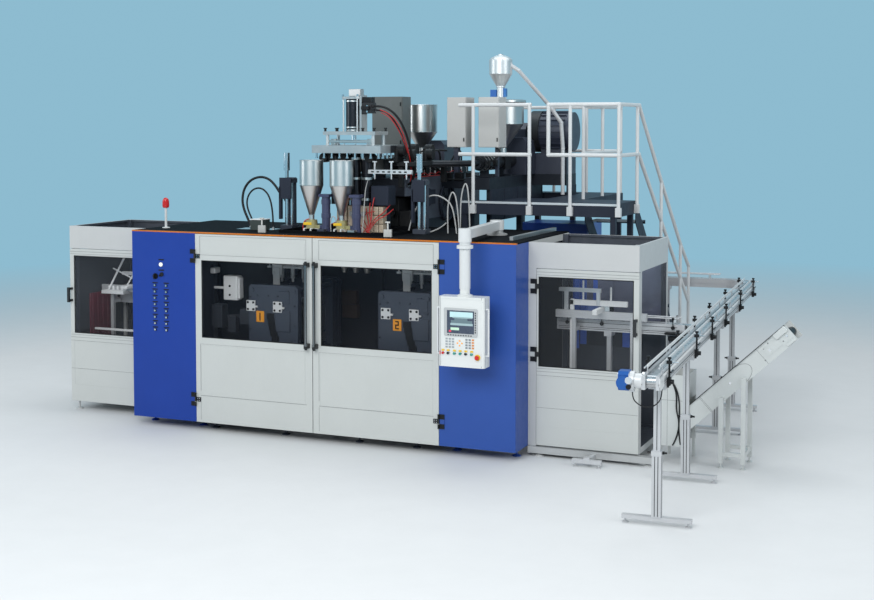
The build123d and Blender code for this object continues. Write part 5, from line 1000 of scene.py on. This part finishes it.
clamps = Piece("guide_clamps", m_black, edge=2)
posts = Piece("guide_posts", m_chrome)
guide_spots = (300, 1840, 2900, 3980, 5300, 6640)
for y in guide_spots:
    for s in (-1, 1):
        line_box(clamps, (s * 75, s * 104), (y - 34, y + 34), (1196, 1262))
        clamps.bar(line_at(s * 104, y - 14, 1229), line_at(s * 132, y - 14, 1229), 20)
        clamps.bar(line_at(s * 90, y, 1262), line_at(s * 90, y, 1420), 9)
        clamps.bar(line_at(s * 90, y, 1420), line_at(s * 90, y, 1436), 17)
        line_box(clamps, (s * 66, s * 112), (y - 13, y + 13), (1378, 1406))
    posts.bar(line_at(60, y, 1392), line_at(168, y, 1392), 5, sides=10)
    clamps.bar(line_at(112, y - 60, 1316), line_at(112, y + 60, 1316), 7)
strips = Piece("guide_strips", m_bright, edge=2)
for s in (-1, 1):
    line_box(strips, (s * 49, s * 54), (60, 6900), (1376, 1408))
    line_box(strips, (s * 74.5, s * 77), (60, 6900), (1300, 1326))
slots = Piece("profile_slots", m_slot)
for s in (-1, 1):
    for z in (1234, 1252, 1326):
        line_box(slots, (s * 73.8, s * 74.5), (-60, 7020), (z, z + 4))
for y in leg_spots:
    for d in (-14, 14):
        line_box(slots, (d - 3.5, d + 3.5), (y - 40.6, y - 39.8), (80, 594))
        line_box(slots, (39.8, 40.6), (y + d - 3.5, y + d + 3.5), (80, 594))
    line_box(slots, (-3.5, 3.5), (y - 22.6, y - 21.8), (646, 1160))
    line_box(slots, (29.8, 30.6), (y - 3.5, y + 3.5), (646, 1160))
for z in (1234, 1252, 1300):
    slots.box((2400, 3680), (1075.4, 1076.2), (z, z + 5))
Piece("belt_guard", m_rubber, ((3600, 3960), (1000, 1072), (1170, 1216)),
      ((3560, 3900), (1000, 1072), (1232, 1258)), edge=12)
collars = Piece("leg_collars", m_black)
for y in leg_spots:
    for s in (-1, 1):
        collars.bar(line_at(s * 46, y, 622), line_at(s * 62, y, 622), 14)
        collars.bar(line_at(s * 62, y, 622), line_at(s * 84, y, 622), 9)
        collars.bar(line_at(s * 76, y + 20, 1190), line_at(s * 92, y + 20, 1190), 12)
cap = Piece("end_bearing", m_white, edge=4)
for k in range(6):
    a = math.radians(60 * k)
    y, z = 52 * math.cos(a), shaft_z + 52 * math.sin(a)
    cap.bar(line_at(-118, y, z), line_at(-150, y, z), 10, sides=10)
drive_bolts = Piece("gear_bolts", m_chrome)
for dy in (-52, 52):
    for dz in (-52, 52):
        drive_bolts.bar(line_at(-274, dy, shaft_z + dz), line_at(-280, dy, shaft_z + dz), 9, sides=6)
drive_bolts.bar(line_at(-274, 0, shaft_z), line_at(-286, 0, shaft_z), 26)
flange = Piece("drive_studs", m_bright, edge=2)
for k in range(8):
    a = math.radians(45 * k)
    y, z = 62 * math.cos(a), shaft_z + 62 * math.sin(a)
    flange.bar(line_at(-62, y, z), line_at(-84, y, z), 13, sides=12)
motor_face = Piece("motor_face", m_chrome)
motor_face.bar(line_at(-180, -96, 1290), line_at(-180, -104, 1290), 30, sides=24)
motor_cap = Piece("motor_cap", m_black)
motor_cap.bar(line_at(-180, -92, 1236), line_at(-180, -104, 1236), 22, sides=24)
for name, sign, last in (("right", 1, 3700), ("left", -1, 3300)):
    grips = Piece(f"{name}_room_clamps", m_black)
    for x in range(2500, last, 380):
        for y in (1070, 1230):
            out = -1 if y < 1150 else 1
            grips.bar((sign * x, y + out * 6, 1300), (sign * x, y + out * 20, 1300), 20)
            grips.bar((sign * x, y + out * 13, 1302), (sign * x, y + out * 13, 1410), 5, sides=10)
            grips.bar((sign * x, y + out * 13, 1380), (sign * x, y + out * 13, 1402), 13)
    Piece(f"{name}_take_out", m_alu, ((sign * 2480, sign * 2560), (947, 1000), (1385, 1435)),
          ((sign * 2500, sign * 2540), (950, 990), (1435, 1640)),
          ((sign * 2440, sign * 2900), (950, 990), (1640, 1680)),
          ((sign * 2850, sign * 2890), (950, 990), (1500, 1640)), edge=2)

# Scrap conveyor: edge trims and belt cleats
scrap_slope = 43
scrap_foot = (3760, 800, 330)


def scrap_at(s, y, z):
    """A point in the row from along, across and square to the sloping belt."""
    cos, sin = math.cos(math.radians(scrap_slope)), math.sin(math.radians(scrap_slope))
    return scrap_foot[0] + s * cos - z * sin, scrap_foot[1] + y, scrap_foot[2] + s * sin + z * cos


def scrap_box(piece, *spans):
    turned_box(piece, scrap_at, spans, (-scrap_slope, "Y"))


cleats = Piece("belt_cleats", m_rubber)
for i in range(7):
    cleats.bar(scrap_at(120 + i * 210, -120, 50), scrap_at(120 + i * 210, 120, 50), 5, sides=8)
edges = Piece("scrap_edges", m_rubber)
for side_sign in (-1, 1):
    scrap_box(edges, (4, 1556), (side_sign * 150, side_sign * 176.4), (88, 95.4))
joins = Piece("scrap_joins", m_groove)
for s in (420, 432, 1180):
    scrap_box(joins, (s, s + 3), (-158.6, -157), (-94, 86))
arc = [scrap_at(880 + 150 * math.cos(a), -158.4, 150 * math.sin(a) * 0.6)
       for a in (math.radians(-80 + 16 * k) for k in range(11))]
for start, end in zip(arc, arc[1:]):
    joins.bar(start, end, 2, sides=6)
for s, z in ((1240, 40), (1290, -20), (1330, 30), (1360, -35), (1400, 20), (1180, -50), (1440, -20),
             (1310, 60)):
    joins.bar(scrap_at(s, -158, z), scrap_at(s, -161, z), 7, sides=10)
head_box = Piece("scrap_head_box", m_scrap, edge=4)
scrap_box(head_box, (1400, 1548), (-186, -158.5), (30, 90))
scrap_box(head_box, (1440, 1548), (-178, -158.5), (-88, -60))
wires("hood_cables", m_rubber, 7,
      [(3640, 580, 905), (3700, 578, 890), (3760, 578, 820), (3800, 578, 700), (3790, 578, 560),
       (3830, 578, 420), (3800, 578, 260), (3760, 578, 190)],
      [(3660, 582, 904), (3740, 580, 860), (3815, 580, 720), (3830, 580, 540), (3816, 580, 330),
       (3840, 580, 200)])
Piece("hood_trim", m_groove, ((3613, 3899), (588.6, 590.2), (640, 643)),
      ((3700, 3703), (588.6, 590.2), (184, 896)))
scrap_bolts = Piece("scrap_bolts", m_chrome)
for s in (60, 240, 760, 1280, 1500):
    for y in (-159, 159):
        out = -1 if y < 0 else 1
        scrap_bolts.bar(scrap_at(s, y, 0), scrap_at(s, y + out * 6, 0), 13, sides=6)

# Operator panel: screen picture, keys, switch rings and side rails
Piece("screen_glass", glow_of("screen_pale", (0.52, 0.66, 0.66), 0.30),
      ((1736, 2004), (-400.5, -399.2), (1346, 1562)), body="operator_panel")
for key, colour, areas in (
        ("sky", (0.40, 0.58, 0.60), [((1752, 1996), (1500, 1554))]),
        ("band", (0.10, 0.15, 0.17), [((1764, 1990), (1442, 1470)), ((1800, 1940), (1470, 1492))]),
        ("mist", (0.26, 0.36, 0.38), [((1758, 1996), (1420, 1442)), ((1780, 1990), (1492, 1503))]),
        ("green", (0.42, 0.60, 0.46), [((1760, 1850), (1372, 1398))]),
        ("red", (0.62, 0.03, 0.08), [((1742, 1766), (1352, 1370))])):
    shown = Piece(f"screen_{key}", glow_of(f"screen_{key}", colour, 0.3), body="operator_panel")
    for x, z in areas:
        shown.box(x, (-401.2, -400.6), z)
keys = Piece("screen_keys", m_black, body="operator_panel")
for k in range(9):
    keys.box((2019, 2031), (-406.2, -405), (1352 + 24 * k, 1366 + 24 * k))
for k in range(10):
    keys.box((1730 + 27 * k, 1744 + 27 * k), (-406.2, -405), (1318, 1328))
arrows = Piece("panel_arrows", m_orange, body="operator_panel")
for dx, dz in ((-24, 0), (24, 0), (0, 24), (0, -24)):
    arrows.bar((1855 + dx, -395.5, 1243 + dz), (1855 + dx, -398.5, 1243 + dz), 8)
switch_spots = (1678, 1733, 1800, 1861, 1921, 1983)
tabs = Piece("switch_tabs", m_yellow, edge=1, body="operator_panel")
for x in switch_spots:
    tabs.box((x - 15, x + 15), (-400, -395.4), (1158, 1176))
hand = Piece("panel_side_rails", m_white, edge=2, body="operator_panel")
for x, out in ((1629, -1), (2115.5, 1)):
    rail_x = x + out * 28
    hand.bar((rail_x, -350, 1120), (rail_x, -350, 1590), 9)
    for z in (1125, 1585):
        hand.bar((x + out * 0.5, -350, z), (rail_x, -350, z), 8)
rings = Piece("switch_rings", m_chrome, body="operator_panel")
for x in switch_spots:
    rings.bar((x, -395.2, 1140), (x, -399, 1140), 17, sides=24)

# Left cabinet: faces of the lamp and the buttons
lamp = Piece("cabinet_buttons", m_chrome)
for x in (-1995, -1846):
    for row in range(8):
        z = 1628 - row * 71.4 - 27
        lamp.bar((x, -9.2, z), (x, -12, z), 11)
lamp_face = Piece("lamp_face", glow_of("lamp_white", (0.85, 0.86, 0.80), 0.25))
lamp_face.bar((-1911, -10.2, 1836), (-1911, -15, 1836), 20, 16, 24)

for piece in Piece.made:
    piece.finish()

# Edge softening on the sheet and bar nodes
soften(2.0, "left_cabinet", "right_cabinet", "roof_deck", "control_boxes", "platform")
soften(1.5, "left_door", "right_door", "left_wing_door", "right_wing_door", "left_wing", "right_wing")
soften(3.0, "left_front_platen", "right_front_platen", "left_rear_platen", "right_rear_platen",
       "left_carriage", "right_carriage")
soften(2.5, "extruder_frame", "extruder_drive", "panel_arm", "head_tower", "die_head")
soften(1.0, "conveyor_frame", "scrap_conveyor", "fixed_hinge_leaves")


# Floor, light and surroundings
backdrop_tone = (0.27, 0.50, 0.63)


def seen_ray(tree):
    """1 for what the camera, a reflection or a pane shows, 0 for light that falls on the object."""
    ray = node(tree, "LightPath")
    shown = math_node(tree, "MAXIMUM", ray.outputs["Is Camera Ray"], ray.outputs["Is Glossy Ray"])
    return math_node(tree, "MAXIMUM", shown, ray.outputs["Is Transmission Ray"])


def mix_shaders(tree, factor, a, b, output):
    """Shader a where the factor is 0 and b where it is 1, on an output's surface."""
    mixed = node(tree, "MixShader")
    for socket, value in zip(mixed.inputs, (factor, a.outputs[0], b.outputs[0])):
        feed(tree, socket, value)
    feed(tree, tree.nodes[output].inputs["Surface"], mixed.outputs[0])


def fade_to_backdrop(tree):
    """The floor turns into the backdrop's colour well away from the object."""
    near, far = 7.5, 20.0
    distance = vector_node(tree, "LENGTH", node(tree, "TexCoord").outputs["Object"])
    spread = remap(tree, distance, near, far, 0.0, 1.0)
    far_tone = node(tree, "Emission")
    far_tone.inputs["Color"].default_value = (*backdrop_tone, 1)
    factor = math_node(tree, "MULTIPLY", spread, seen_ray(tree))
    mix_shaders(tree, factor, tree.nodes["Principled BSDF"], far_tone, "Material Output")


def stage_floor():
    data = bpy.data.meshes.new("floor")
    reach = 60
    corners = [(x * reach, y * reach, 0) for x, y in ((-1, -1), (1, -1), (1, 1), (-1, 1))]
    data.from_pydata(corners, [], [(0, 1, 2, 3)])
    obj = bpy.data.objects.new("floor", data)
    floor_finish = finish_of("floor_finish", (0.66, 0.68, 0.69), 0.6, 0, "plastic", 0.02, gloss=0.2)
    fade_to_backdrop(floor_finish.node_tree)
    data.materials.append(floor_finish)
    bpy.context.collection.objects.link(obj)


def light(name, where, target, size, power):
    data = bpy.data.lights.new(name, "AREA")
    data.shape = "RECTANGLE"
    data.size, data.size_y = size
    data.energy = power
    obj = bpy.data.objects.new(name, data)
    obj.location = where
    obj.rotation_mode = "QUATERNION"
    obj.rotation_quaternion = (Vector(target) - Vector(where)).to_track_quat("-Z", "Y")
    bpy.context.collection.objects.link(obj)


def studio_world():
    """Soft ambient light for the object, and the plain backdrop behind it."""
    world = bpy.data.worlds.new("studio")
    bpy.context.scene.world = world
    world.use_nodes = True
    tree = world.node_tree
    ambient, shown = tree.nodes["Background"], node(tree, "Background")
    ambient.inputs["Color"].default_value = (0.80, 0.86, 0.90, 1)
    ambient.inputs["Strength"].default_value = 0.62
    shown.inputs["Color"].default_value = (*backdrop_tone, 1)
    shown.inputs["Strength"].default_value = 1.0
    mix_shaders(tree, seen_ray(tree), ambient, shown, "World Output")


stage_floor()
light("front_soft", (1.5, -13, 7.5), (0, -1, 1.4), (9, 5), 1100)
light("right_soft", (12, -4, 5.5), (1, 0, 1.5), (6, 4), 300)
light("left_soft", (-11, -6, 5), (-1, 0, 1.5), (5, 4), 250)
light("top_soft", (0, 2, 11), (0, 0.5, 0), (9, 7), 420)
studio_world()
